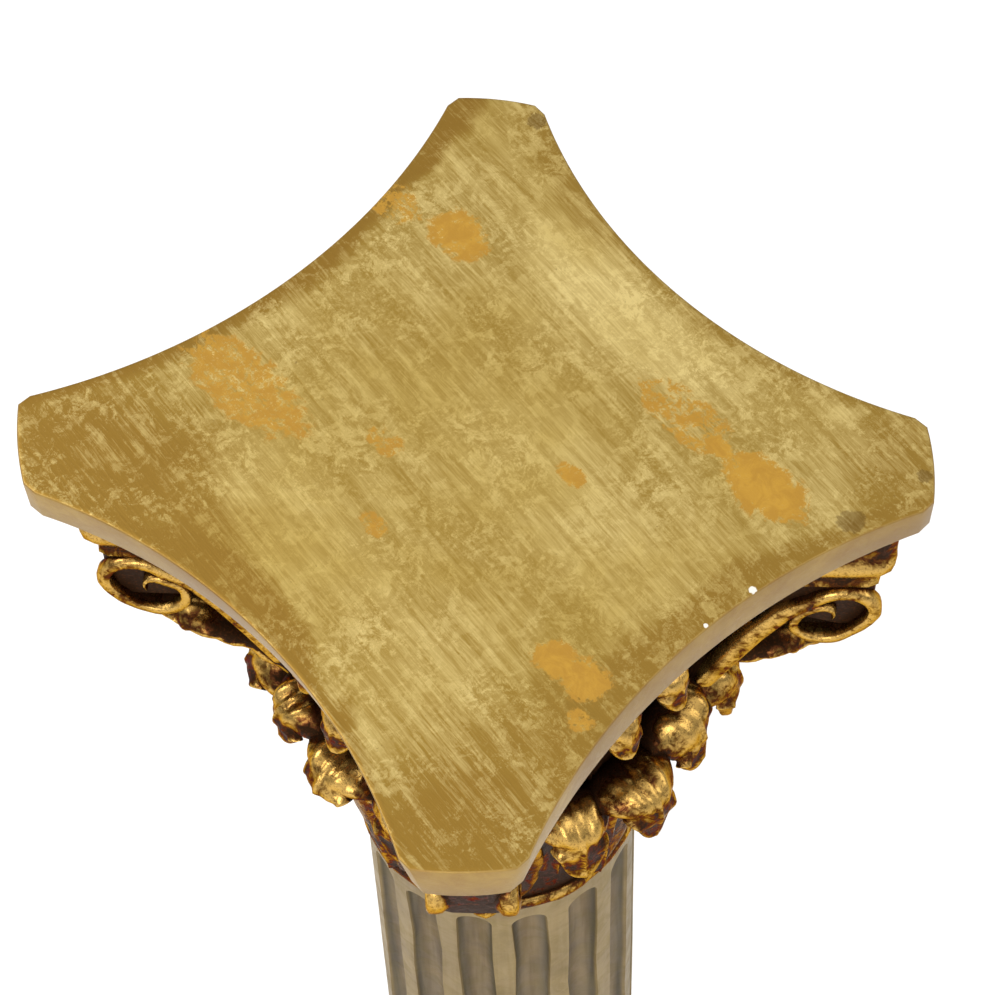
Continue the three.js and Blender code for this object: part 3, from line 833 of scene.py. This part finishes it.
def add_bell(bm):
    inner = LIP_RADIUS - LIP_BULGE
    half = LIP_HEIGHT / 2
    top = CAPITAL_TOP - LEDGE_THICKNESS / 2
    profile = [(0, CAPITAL_FOOT), (inner, CAPITAL_FOOT)]
    for i in range(LIP_STEPS + 1):
        angle = math.pi * (i / LIP_STEPS - 0.5)
        profile.append((inner + LIP_BULGE * math.cos(angle),
                        CAPITAL_FOOT + half + half * math.sin(angle)))
    for i in range(BELL_STEPS + 1):
        height = lerp(CAPITAL_FOOT + LIP_HEIGHT, top, i / BELL_STEPS)
        profile.append((bell_radius(height), height))
    profile.append((0, top))
    turned(bm, profile, 96)


def add_ledge(bm):
    outline = board_outline(LEDGE_INSET, 36, 6)
    slab(bm, outline, CAPITAL_TOP - LEDGE_THICKNESS, CAPITAL_TOP, 2.5, rim=3)


print("bell", round(CAPITAL_FOOT, 1), "to", round(CAPITAL_TOP, 1), "mm")

# %% [markdown]
# An acanthus leaf climbs the bell, stands away from it, rolls over and hangs its tip. The
# spine is a smooth line of radius and depth, the same as in the solid. A front and a back
# sheet follow it and meet at the rim, so the leaf is thick in the middle and rounded at
# its edge, like a leaf cut from wood. Notches cut the edge into lobes. Seen from above,
# the roll is a row of fat knuckles, and the tip below it is a spoon with a raised rim.

# %% The leaf's forms
LOWER_LEAF = {
    "spine": [(71, 283), (77, 240), (82, 204), (87, 176), (95, 164), (104, 172), (101, 194)],
    "half_width": 28, "tip_half_width": 14, "thickness": 22, "lift": 9, "droop": 7,
}
UPPER_LEAF = {
    "spine": [(70, 258), (75, 216), (80, 182), (85, 158), (92, 149), (101, 158), (99, 178)],
    "half_width": 24, "tip_half_width": 16, "thickness": 13, "lift": 10, "droop": 7,
}
FACE_SCROLL = {
    "spine": [(78, 165), (82, 126), (88, 98), (96, 81), (104, 83), (105, 98)],
    "half_width": 14, "tip_half_width": 11, "thickness": 12, "lift": 3, "droop": 6,
}
SHEATH_LEAF = {
    "spine": [(76, 200), (90, 162), (108, 138), (128, 122), (141, 118), (148, 126)],
    "half_width": 21, "tip_half_width": 9, "thickness": 14, "lift": 3, "droop": 8,
}
LOBES_PER_SIDE = 3
FINGERS_PER_LOBE = 3
NOTCH = 0.27
FINGER_NOTCH = 0.07
LOBE_SWEEP = 0.05
TIP_FROM = 0.82
TIP_NARROWING = 0.2
TIP_ROUNDING = 0.13
OPENING_AT_FOOT = 0.3
OPENING_RATE = 0.5
THINNING = 0.65
CURL_FROM = 0.55
CURL_TO = 0.85
ROLL_SHARE = 0.7
CREASE_SHARE = 0.815
SPOON_SHARE = 0.9
# Painted shade on each part of a leaf: the underside, the stem under the roll, the spoon's hollow
# and the flanks
UNDERSIDE_SHADE = 0.42
STEM_SHADE = 0.34
SPOON_SHADE = 0.36
FLANK_SHADE = 0.28


def spline_at(points, share):
    """Place and direction on a smooth line through the points, share from 0 to 1."""
    position = share * (len(points) - 1)
    first = min(len(points) - 2, int(position))
    t = position - first
    p = [points[min(len(points) - 1, max(0, first + k))] for k in (-1, 0, 1, 2)]
    a = (p[2] - p[0]) / 2
    b = (p[3] - p[1]) / 2
    cubic = 2 * p[1] - 2 * p[2] + a + b
    square = -3 * p[1] + 3 * p[2] - 2 * a - b
    place = cubic * t ** 3 + square * t ** 2 + a * t + p[1]
    way = cubic * (3 * t * t) + square * (2 * t) + a
    return place, way.normalized()


def lobe_wave(share, count, power=0.6):
    """0 at each notch and 1 in the middle of each lobe."""
    return abs(math.sin(math.pi * count * share)) ** power


def across_leaf(u):
    """From -1 to 1 across the leaf, with more columns near its edges."""
    return math.sin((u - 0.5) * math.pi)


def along_leaf(v):
    """From 0 at the foot to 1 at the tip, with more rows near the tip."""
    return 1 - (1 - v) ** 1.2


def leaf_relief(side, share, front):
    """How far the carving stands off the leaf's plain form, in shares of its depth."""
    a = abs(side)
    across = a ** 0.7 * (1 - a ** 6)
    phase = share + 0.1 * (1 - a)
    spoons = lobe_wave(phase, LOBES_PER_SIDE, 0.8)
    fingers = lobe_wave(phase, LOBES_PER_SIDE * FINGERS_PER_LOBE, 0.8)
    if front:
        rib = bump(a, 0, 0.1) - 0.7 * bump(a, 0.2, 0.08)
        return rib - (1.2 * spoons + 0.4 * fingers) * across
    bulges = math.cos(math.pi * (a - 0.42) / 0.6) ** 2 - 0.5 if a < 0.75 else -0.4
    roll = bump(share, ROLL_SHARE, 0.12) * 1.5 * bulges
    crease = 1.7 * bump(share, CREASE_SHARE, 0.035) * (1 - 0.6 * bump(a, 0, 0.3))
    spoon = bump(share, SPOON_SHARE, 0.07) * (2.3 * (1 - a * a) - 1.3 * bump(a, 0.8, 0.16))
    rim = 1.1 * bump(share, 0.985, 0.025)
    rib = 0.8 * bump(a, 0, 0.09) * bump(share, 0.9, 0.1)
    return roll - crease - spoon + rim + rib


def leaf_painted_shade(side, share, front):
    """Painted shade on the stem under the roll, on the underside, in the spoon and on the flanks;
    roll and rims stay bright.
    """
    a = abs(side)
    inner = (1 - smoothstep(a, 0.7, 0.92)) * (1 - smoothstep(share, 0.93, 0.985))
    if front:
        return UNDERSIDE_SHADE * inner
    stem = STEM_SHADE * (1 - smoothstep(share, 0.52, 0.68))
    hollow = SPOON_SHADE * smoothstep(share, CREASE_SHARE - 0.04, CREASE_SHARE + 0.03) * inner
    flanks = FLANK_SHADE * smoothstep(a, 0.6, 0.8) * (1 - smoothstep(share, 0.72, 0.82))
    return stem + hollow + flanks


def posed_spine(points, reach, drop, hang):
    """A leaf's spine with its reach, drop and hang; they grow from the foot to the tip."""
    foot_radius = points[0][0]
    depths = [depth for _, depth in points]
    crest = min(depths)
    last = len(points) - 1
    spine = []
    for k, (radius, depth) in enumerate(points):
        if k > depths.index(crest):
            depth = crest + (depth - crest) * hang
        stretch = 1 + (reach - 1) * k / last
        spine.append(Vector((foot_radius + (radius - foot_radius) * stretch,
                             -depth - drop * k / last)))
    return spine


def add_leaf(bm, leaf, azimuth, columns, rows, reach=1.0, drop=0.0, hang=1.0, relief=1.7,
             tilt=0.0):
    """One leaf: a front and a back sheet that meet at the rim."""
    spine = posed_spine(leaf["spine"], reach, drop, hang)
    heading = math.radians(azimuth)

    def place_on(front):
        def place(u, v):
            side = across_leaf(u)
            a = abs(side)
            share = along_leaf(v)
            wave = lobe_wave(share, LOBES_PER_SIDE - 0.5)
            fingers = lobe_wave(share, LOBES_PER_SIDE * FINGERS_PER_LOBE - 1.5)
            opening = math.sin(math.pi * min(1, OPENING_AT_FOOT + OPENING_RATE * share))
            half = lerp(leaf["half_width"] * opening, leaf["tip_half_width"], share ** 3)
            half *= 1 - NOTCH * (1 - wave) - FINGER_NOTCH * (1 - fingers)
            end = smoothstep(share, TIP_FROM, 1)
            half *= 1 - TIP_NARROWING * end
            on_spine = share + LOBE_SWEEP * a ** 1.5 * (1 - share)
            on_spine -= TIP_ROUNDING * end * a ** 2.5
            point, way = spline_at(spine, min(1, on_spine))
            curl = smoothstep(share, CURL_FROM, CURL_TO)
            proud = lerp(leaf["lift"] * share ** 0.5, leaf["droop"], curl) * side * side
            thickness = leaf["thickness"] * (1 - THINNING * share)
            rim = math.sqrt(max(0, (1 - a ** 8) * (1 - share ** 24)))
            outward = 1 if front else -1
            off = proud - thickness / 2 + outward * rim * thickness / 2
            off += outward * rim * relief * leaf_relief(side, share, front)
            radius = point.x + way.y * off
            height = TOP + point.y - way.x * off - tilt * side * curl
            angle = heading + side * half / point.x
            return Vector((radius * math.cos(angle), radius * math.sin(angle), height))
        return place

    # Each sheet carries its painted shade
    def painted_shade_on(front):
        return lambda u, v: leaf_painted_shade(across_leaf(u), along_leaf(v), front)

    made = shaped_grid(bm, columns, rows, place_on(True), painted_shade_on(True))
    made += shaped_grid(bm, columns, rows, place_on(False), painted_shade_on(False))
    bmesh.ops.remove_doubles(bm, verts=made, dist=0.01)


print("leaf widths", [2 * leaf["half_width"] for leaf in (LOWER_LEAF, UPPER_LEAF, SHEATH_LEAF)])

# %% [markdown]
# Under each horn a band rolls up into a volute. The band is a closed section, with a
# shallow channel between two rounded edges, that is carried along a stem and then round
# a spiral. A thinner disc inside it is the floor of the recess that the eye of the volute
# lies in. The neck above it has a thin bead and a fat one, and joins it to the ledge.

# %% The volutes
SCROLL_RADIUS = 20.8
SCROLL_TURNS = 1.17
SCROLL_START = 0.72 * math.pi
SCROLL_TIGHTENING = 0.85
SCROLL_TIGHTENING_POWER = 6
SPIRAL_ROWS = 64
# The scroll is a little longer from its lower inner side to its upper outer side
SCROLL_LEAN = 0.14
SCROLL_LEAN_ANGLE = math.radians(50)
BAND_THICKNESS = 7
BAND_THINNING = 0.4
WEB_RADIUS = 16
WEB_HALF_WIDTH = 10
# Half of the band's section: how far to the side, and how deep below the outer face
BAND_HALF_SECTION = [(0, 0.62), (5, 0.6), (9, 0.5), (11, 0.28), (12.5, 0.06), (15, 0),
                     (17.8, 0.04), (19, 0.22), (19, 0.85), (18.4, 0.98), (15, 1.0)]
# Painted shade in the band's channel, on its side faces and on the floor of the recess
CHANNEL_HALF_WIDTH = 10.5
CHANNEL_SHADE = 0.34
CHEEK_SHADE = 0.22
CHEEK_FROM = 18.5
RECESS_SHADE = 0.4
STEM_OUTER = [(-62, -62), (-50, -38), (-38, -15), (-25, 5)]
STEM_INNER = [(-50, -62), (-40, -40), (-29, -19), (-18, -1)]
# The neck, from its foot inside the scroll up to the ledge: height above the eye, how far
# its front and its foot's back lie from the eye, half its width, and its painted shade, heavy in
# the grooves and light on the beads
NECK_LEVELS = [
    (-10, 15, -40, 14.5, 0.4), (8, 18, -52, 14.5, 0.4), (20.5, 18.6, -60, 15, 0.34),
    (23, 19.6, -60, 16.4, 0.16), (25.5, 19, -60, 15, 0.34), (29.5, 19.4, -60, 15.2, 0.3),
    (32, 21, -60, 17.6, 0.04), (36.5, 24, -60, 18.8, -0.1), (41, 25.4, -60, 18, 0.0),
    (43.5, 25.2, -60, 16.4, 0.3), (48, 25.2, -60, 16, 0.3), (80, 25.2, -60, 16, 0.3),
]
# The neck's plan: share of the way from back to front, and share of half its width
NECK_PLAN = [(0, -1), (0.5, -1), (0.8, -1), (0.93, -0.98), (0.985, -0.86), (1, -0.6), (1, 0)]


def spiral_at(share):
    """The band's outer and inner line at a share of the spiral, from the eye."""
    angle = SCROLL_START - share * SCROLL_TURNS * 2 * math.pi
    outer = SCROLL_RADIUS * (1 + SCROLL_LEAN * math.cos(2 * (angle - SCROLL_LEAN_ANGLE)))
    outer *= 1 - SCROLL_TIGHTENING * share ** SCROLL_TIGHTENING_POWER
    inner = outer - BAND_THICKNESS * (1 - BAND_THINNING * share)
    way = Vector((math.cos(angle), math.sin(angle)))
    return way * outer, way * inner


def add_volute(bm, horn):
    out, depth = horn["scroll"]
    eye = Vector((out, TOP - depth))
    heading = math.radians(horn["azimuth"])
    section = BAND_HALF_SECTION + [(-y, n) for y, n in reversed(BAND_HALF_SECTION[1:])]
    stem_rows = len(STEM_OUTER)
    rows = stem_rows + SPIRAL_ROWS

    def in_place(x, y, z):
        """From the diagonal's own plane to the column's frame."""
        return Vector((x * math.cos(heading) - y * math.sin(heading),
                       x * math.sin(heading) + y * math.cos(heading), z))

    def lines(row):
        if row < stem_rows:
            return Vector(STEM_OUTER[row]), Vector(STEM_INNER[row])
        return spiral_at((row - stem_rows) / SPIRAL_ROWS)

    def place(u, v):
        side, deep = section[round(u * len(section)) % len(section)]
        outer, inner = lines(round(v * rows))
        point = eye + outer.lerp(inner, deep)
        return in_place(point.x, side, point.y)

    # Painted shade in the channel and on the band's sides
    def painted_shade_at(u, v):
        side = abs(section[round(u * len(section)) % len(section)][0])
        channel = CHANNEL_SHADE * (1 - smoothstep(side, CHANNEL_HALF_WIDTH - 1,
                                                  CHANNEL_HALF_WIDTH + 1))
        return channel + (CHEEK_SHADE if side >= CHEEK_FROM else 0)

    made = shaped_grid(bm, len(section), rows, place, painted_shade_at)
    bmesh.ops.remove_doubles(bm, verts=made, dist=0.01)
    ends = [e for v in made if v.is_valid for e in v.link_edges if e.is_boundary]
    bmesh.ops.holes_fill(bm, edges=list(set(ends)), sides=0)
    turn = Matrix.Rotation(heading, 4, "Z") @ Matrix.Translation((eye.x, 0, eye.y))
    web = bmesh.ops.create_cone(bm, cap_ends=True, segments=48, radius1=WEB_RADIUS,
                                radius2=WEB_RADIUS, depth=2 * WEB_HALF_WIDTH,
                                matrix=turn @ Matrix.Rotation(math.pi / 2, 4, "X"))
    # The floor of the recess is painted in shade
    paint_shade(bm, web["verts"], RECESS_SHADE)
    add_neck(bm, eye, in_place)


def add_neck(bm, eye, in_place):
    """The moulded neck between the volute and the ledge, open where other carving hides it."""
    top = CAPITAL_TOP - LEDGE_THICKNESS / 2 - eye.y
    plan = NECK_PLAN + [(x, -side) for x, side in reversed(NECK_PLAN[:-1])]
    levels = [level for level in NECK_LEVELS if level[0] < top]
    levels.append((top,) + NECK_LEVELS[-1][1:])

    def place(u, v):
        height, front, back, half_width, _ = levels[round(v * (len(levels) - 1))]
        x, side = plan[round(u * (len(plan) - 1))]
        return in_place(eye.x + lerp(back, front, x), side * half_width, eye.y + height)

    # Painted shade on the neck, heavy in its grooves and light on its beads
    def painted_shade_at(u, v):
        return levels[round(v * (len(levels) - 1))][4]

    made = shaped_grid(bm, len(plan) - 1, len(levels) - 1, place, painted_shade_at)
    around = list({e for v in made for e in v.link_edges if e.is_boundary})
    bmesh.ops.holes_fill(bm, edges=around, sides=0)


print("scroll", 2 * SCROLL_RADIUS, "mm across")

# %% [markdown]
# The leaves stand in two staggered rows of eight, a sheath leaf under each volute and two
# small scrolls in the middle of each side. The photograph shows how far each of the seen
# leaves hangs, and the others follow them. All of it is one carving, so it is one mesh.

# %% The whole capital
LEAVES_PER_TIER = 8
FACE_SCROLL_AZIMUTH = 9
# Painted shade on the bell and the ledge, which lie under the leaves and the board
BELL_SHADE = 0.25
# Size and depth of the unevenness that the gouge and the gesso leave
GOUGE_MARKS = (13, 0.8)
GESSO_GRAIN = (5, 0.22)
# No two leaves are alike: how far each is turned aside, how much lower it stands, how far
# its tip hangs as a share, how much further it reaches out, and its tip's lean to one side
LOWER_LEAVES = [(0, -2, 1, 1, 2), (0, 14, 1, 1.12, -1), (0, 0, 0.8, 1, 0), (0, 14, 0.8, 1.12, 1),
                (0, 0, 0.9, 1, -2), (0, 9, 0.3, 1.14, 2), (0, -13, 0.43, 0.88, 1),
                (0, 14, 1, 1.12, -1)]
UPPER_LEAVES = [(-1, 2, 1, 1.08, -11), (0, 7, 1, 1, 2), (2, 0, 0.8, 1, 1), (0, 6, 1, 1, -2),
                (-2, 0, 0.9, 1, 0), (0, 0, 0.8, 1.02, 1), (0, 8, 1, 1, -1), (3, 24, 1, 1, 2)]
# How far the two small scrolls of each side reach out, the side after each horn in turn
FACE_SCROLL_REACHES = [(1, 0.9), (0.9, 1), (1, 0.8), (0.6, 1)]


def make_capital():
    bm = bmesh.new()
    add_bell(bm)
    add_ledge(bm)
    # The bell and the ledge are painted in shade
    paint_shade(bm, bm.verts, BELL_SHADE)
    spacing = 360 / LEAVES_PER_TIER
    for i in range(LEAVES_PER_TIER):
        turn, drop, hang, reach, tilt = LOWER_LEAVES[i]
        add_leaf(bm, LOWER_LEAF, i * spacing + turn, 40, 48, reach, drop, hang, tilt=tilt)
        turn, drop, hang, reach, tilt = UPPER_LEAVES[i]
        add_leaf(bm, UPPER_LEAF, (i + 0.5) * spacing + turn, 36, 44, reach, drop, hang, tilt=tilt)
    for horn, reaches in zip(HORNS, FACE_SCROLL_REACHES):
        add_volute(bm, horn)
        add_leaf(bm, SHEATH_LEAF, horn["azimuth"], 24, 30, drop=horn["sheath"], relief=1.2)
        for side, reach in zip((-1, 1), reaches):
            azimuth = horn["azimuth"] + 45 + side * FACE_SCROLL_AZIMUTH
            add_leaf(bm, FACE_SCROLL, azimuth, 20, 26, reach, relief=1.0)
    close_up(bm, 0.001)
    rough_hewn(bm, *GOUGE_MARKS)
    rough_hewn(bm, *GESSO_GRAIN, seed=5.3)
    gilding = waxed_and_shaded_gilding("carved_gilding", 0.1, 0.5, 60.0, 260.0)
    return finished("capital_carved", bm, gilding, "capital", 60)


capital = make_capital()

# %% [markdown]
# The shaft is a round post with hollows cut down its length. A grid is rolled round the
# axis, and the corners that fall in a flute move inwards and close in to a half round at
# both ends. The strips between the flutes waver a little, as hand-cut ones do.

# %% The fluted shaft
SHAFT_TOP_RADIUS = 67
SHAFT_FOOT_RADIUS = 70
FLUTES = 15
FLUTE_SHARE = 0.64
FLUTE_DEPTH = 6.5
FLUTE_TOP_MARGIN = 13
FLUTE_FOOT_MARGIN = 22
FLUTE_FIRST_AZIMUTH = -78
FLUTE_CORNERS = [-1.0, -0.96, -0.85, -0.65, -0.35, 0.0, 0.35, 0.65, 0.85, 0.96, 1.0]
STRIP_CORNERS = [0.25, 0.5, 0.75]
FLUTE_WAVER = 0.035
WAVER_LENGTH = 45
END_STEPS = 9
LENGTH_STEPS = 14
NARROWEST = 0.12


def make_shaft():
    low = level(shaft_low)
    high = level(shaft_high)
    pitch = 2 * math.pi / FLUTES
    half_flute = pitch * FLUTE_SHARE / 2
    end_round = SHAFT_TOP_RADIUS * half_flute
    flute_top = high - FLUTE_TOP_MARGIN
    flute_foot = low + FLUTE_FOOT_MARGIN
    per_flute = len(FLUTE_CORNERS) + len(STRIP_CORNERS)
    rises = [1 - math.cos(math.pi / 2 * i / END_STEPS) for i in range(END_STEPS + 1)]
    levels = [low, low + 1, flute_foot - 2] + [flute_foot + end_round * r for r in rises]
    levels += [lerp(flute_foot + end_round, flute_top - end_round, i / LENGTH_STEPS)
               for i in range(1, LENGTH_STEPS)]
    levels += [flute_top - end_round * r for r in reversed(rises)]
    levels += [flute_top + 2, high - 1, high]

    def skin_radius(height):
        return lerp(SHAFT_FOOT_RADIUS, SHAFT_TOP_RADIUS, (height - low) / (high - low))

    def place(u, v):
        height = levels[round(v * (len(levels) - 1))]
        step = round(u * FLUTES * per_flute)
        flute, spot = divmod(step, per_flute)
        middle = math.radians(FLUTE_FIRST_AZIMUTH) + flute * pitch
        ends = min(flute_top - height, height - flute_foot)
        rounding = min(1, max(0, 1 - ends / end_round))
        openness = 0 if ends < 0 else math.sqrt(1 - rounding * rounding)
        width = max(NARROWEST, openness)
        waver = FLUTE_WAVER * noise.noise(Vector((flute % FLUTES * 7.1, height / WAVER_LENGTH, 0)))
        depth = 0
        if spot < len(FLUTE_CORNERS):
            across = FLUTE_CORNERS[spot]
            angle = middle + half_flute * across * width
            depth = FLUTE_DEPTH * openness * math.sqrt(1 - across * across)
        else:
            strip = STRIP_CORNERS[spot - len(FLUTE_CORNERS)]
            angle = middle + lerp(half_flute * width, pitch - half_flute * width, strip)
        radius = skin_radius(height) - depth
        angle += waver * min(1, openness)
        return Vector((radius * math.cos(angle), radius * math.sin(angle), height))

    bm = bmesh.new()
    shaped_grid(bm, FLUTES * per_flute, len(levels) - 1, place)
    close_up(bm)
    hollowed = bm.verts.layers.float.new("flute_depth")
    for vert in bm.verts:
        vert[hollowed] = (skin_radius(vert.co.z) - vert.co.xy.length) / FLUTE_DEPTH
    bmesh.ops.holes_fill(bm, edges=[e for e in bm.edges if e.is_boundary], sides=0)
    bmesh.ops.recalc_face_normals(bm, faces=bm.faces)
    return finished("fluted_shaft_painted", bm, shaft_paint(), "fluted_shaft", 35)


shaft = make_shaft()

# %% [markdown]
# The base was turned on a lathe, so its profile spins about the axis: a thick round, a
# hollow between two thin steps, a thinner round and a collar. It isn't in the photograph
# and keeps to the plain mouldings of its kind.

# %% The turned base
BASE_FOOT_RADIUS = 112
THICK_ROUND_SHARE = 0.36
THIN_ROUND_SHARE = 0.24
FILLET_SHARE = 0.05
LOWER_FILLET_INSET = 13
HOLLOW_INSETS = (24, 27)
UPPER_FILLET_INSET = 22
THIN_ROUND_INSET = 18
COLLAR_WIDTH = 5
TOOL_MARKS = (30, 0.35)


def round_points(radius, foot, height, steps):
    half = height / 2
    angles = [math.pi * (i / steps - 0.5) for i in range(steps + 1)]
    return [(radius - half + half * math.cos(a), foot + half + half * math.sin(a)) for a in angles]


def make_base():
    foot = level(base_low)
    top = level(base_high)
    whole = top - foot
    thick = THICK_ROUND_SHARE * whole
    thin = THIN_ROUND_SHARE * whole
    fillet = FILLET_SHARE * whole
    hollow_foot = foot + thick + fillet
    hollow_top = top - 2 * fillet - thin
    lower_fillet = BASE_FOOT_RADIUS - LOWER_FILLET_INSET
    collar = SHAFT_FOOT_RADIUS + COLLAR_WIDTH
    profile = [(0, foot)] + round_points(BASE_FOOT_RADIUS, foot, thick, 14)
    profile += [(lower_fillet, foot + thick), (lower_fillet, hollow_foot)]
    hollow = [Vector((lower_fillet - 1, hollow_foot)),
              Vector((BASE_FOOT_RADIUS - HOLLOW_INSETS[0], (2 * hollow_foot + hollow_top) / 3)),
              Vector((BASE_FOOT_RADIUS - HOLLOW_INSETS[1], hollow_top))]
    profile += [tuple(spline_at(hollow, i / 10)[0]) for i in range(11)]
    profile += [(BASE_FOOT_RADIUS - UPPER_FILLET_INSET, hollow_top + 0.5)]
    profile += [(BASE_FOOT_RADIUS - UPPER_FILLET_INSET, hollow_top + fillet)]
    profile += round_points(BASE_FOOT_RADIUS - THIN_ROUND_INSET, hollow_top + fillet, thin, 10)
    profile += [(collar, top - fillet), (collar, top - 0.6), (collar - 0.6, top), (0, top)]
    bm = bmesh.new()
    turned(bm, profile, 128)
    close_up(bm)
    rough_hewn(bm, *TOOL_MARKS)
    gilding = waxed_and_shaded_gilding("base_gilding", 0.12, 0.6, 20.0, 90.0)
    return finished("turned_base_gilded", bm, gilding, "turned_base", 35)


base = make_base()

# %% [markdown]
# The plinth is a sawn block. A bevel softens its edges, and a narrow inset round each flat
# face keeps the wear along them.

# %% The plinth
PLINTH_EDGE_ROUND = 2.5
# The six flat faces are larger than this, in square millimetres, and the rounded ones smaller
FLAT_FACE_AREA = 1000


def make_plinth():
    low = Vector(plinth_low) / MM
    high = Vector(plinth_high) / MM
    bm = bmesh.new()
    bmesh.ops.create_cube(bm, size=1)
    bmesh.ops.scale(bm, vec=high - low, verts=bm.verts)
    bmesh.ops.translate(bm, vec=(high + low) / 2, verts=bm.verts)
    bmesh.ops.bevel(bm, geom=list(bm.edges), offset=PLINTH_EDGE_ROUND, offset_type="OFFSET",
                    segments=3, profile=0.5, affect="EDGES", material=-1)
    flat = [f for f in bm.faces if f.calc_area() > FLAT_FACE_AREA]
    bmesh.ops.inset_individual(bm, faces=flat, thickness=2, depth=0, use_even_offset=True)
    close_up(bm)
    gilding = waxed_and_shaded_gilding("plinth_gilding", 0.16, 0.7, 14.0, 80.0)
    return finished("plinth_gilded", bm, gilding, "plinth", 40)


plinth = make_plinth()

# %% [markdown]
# All five pieces stand in place now, so what each of them closes in can be measured.

# %% Wear and painted shade on the finished meshes
measure_wear_and_shade([board, capital, shaft, base, plinth])
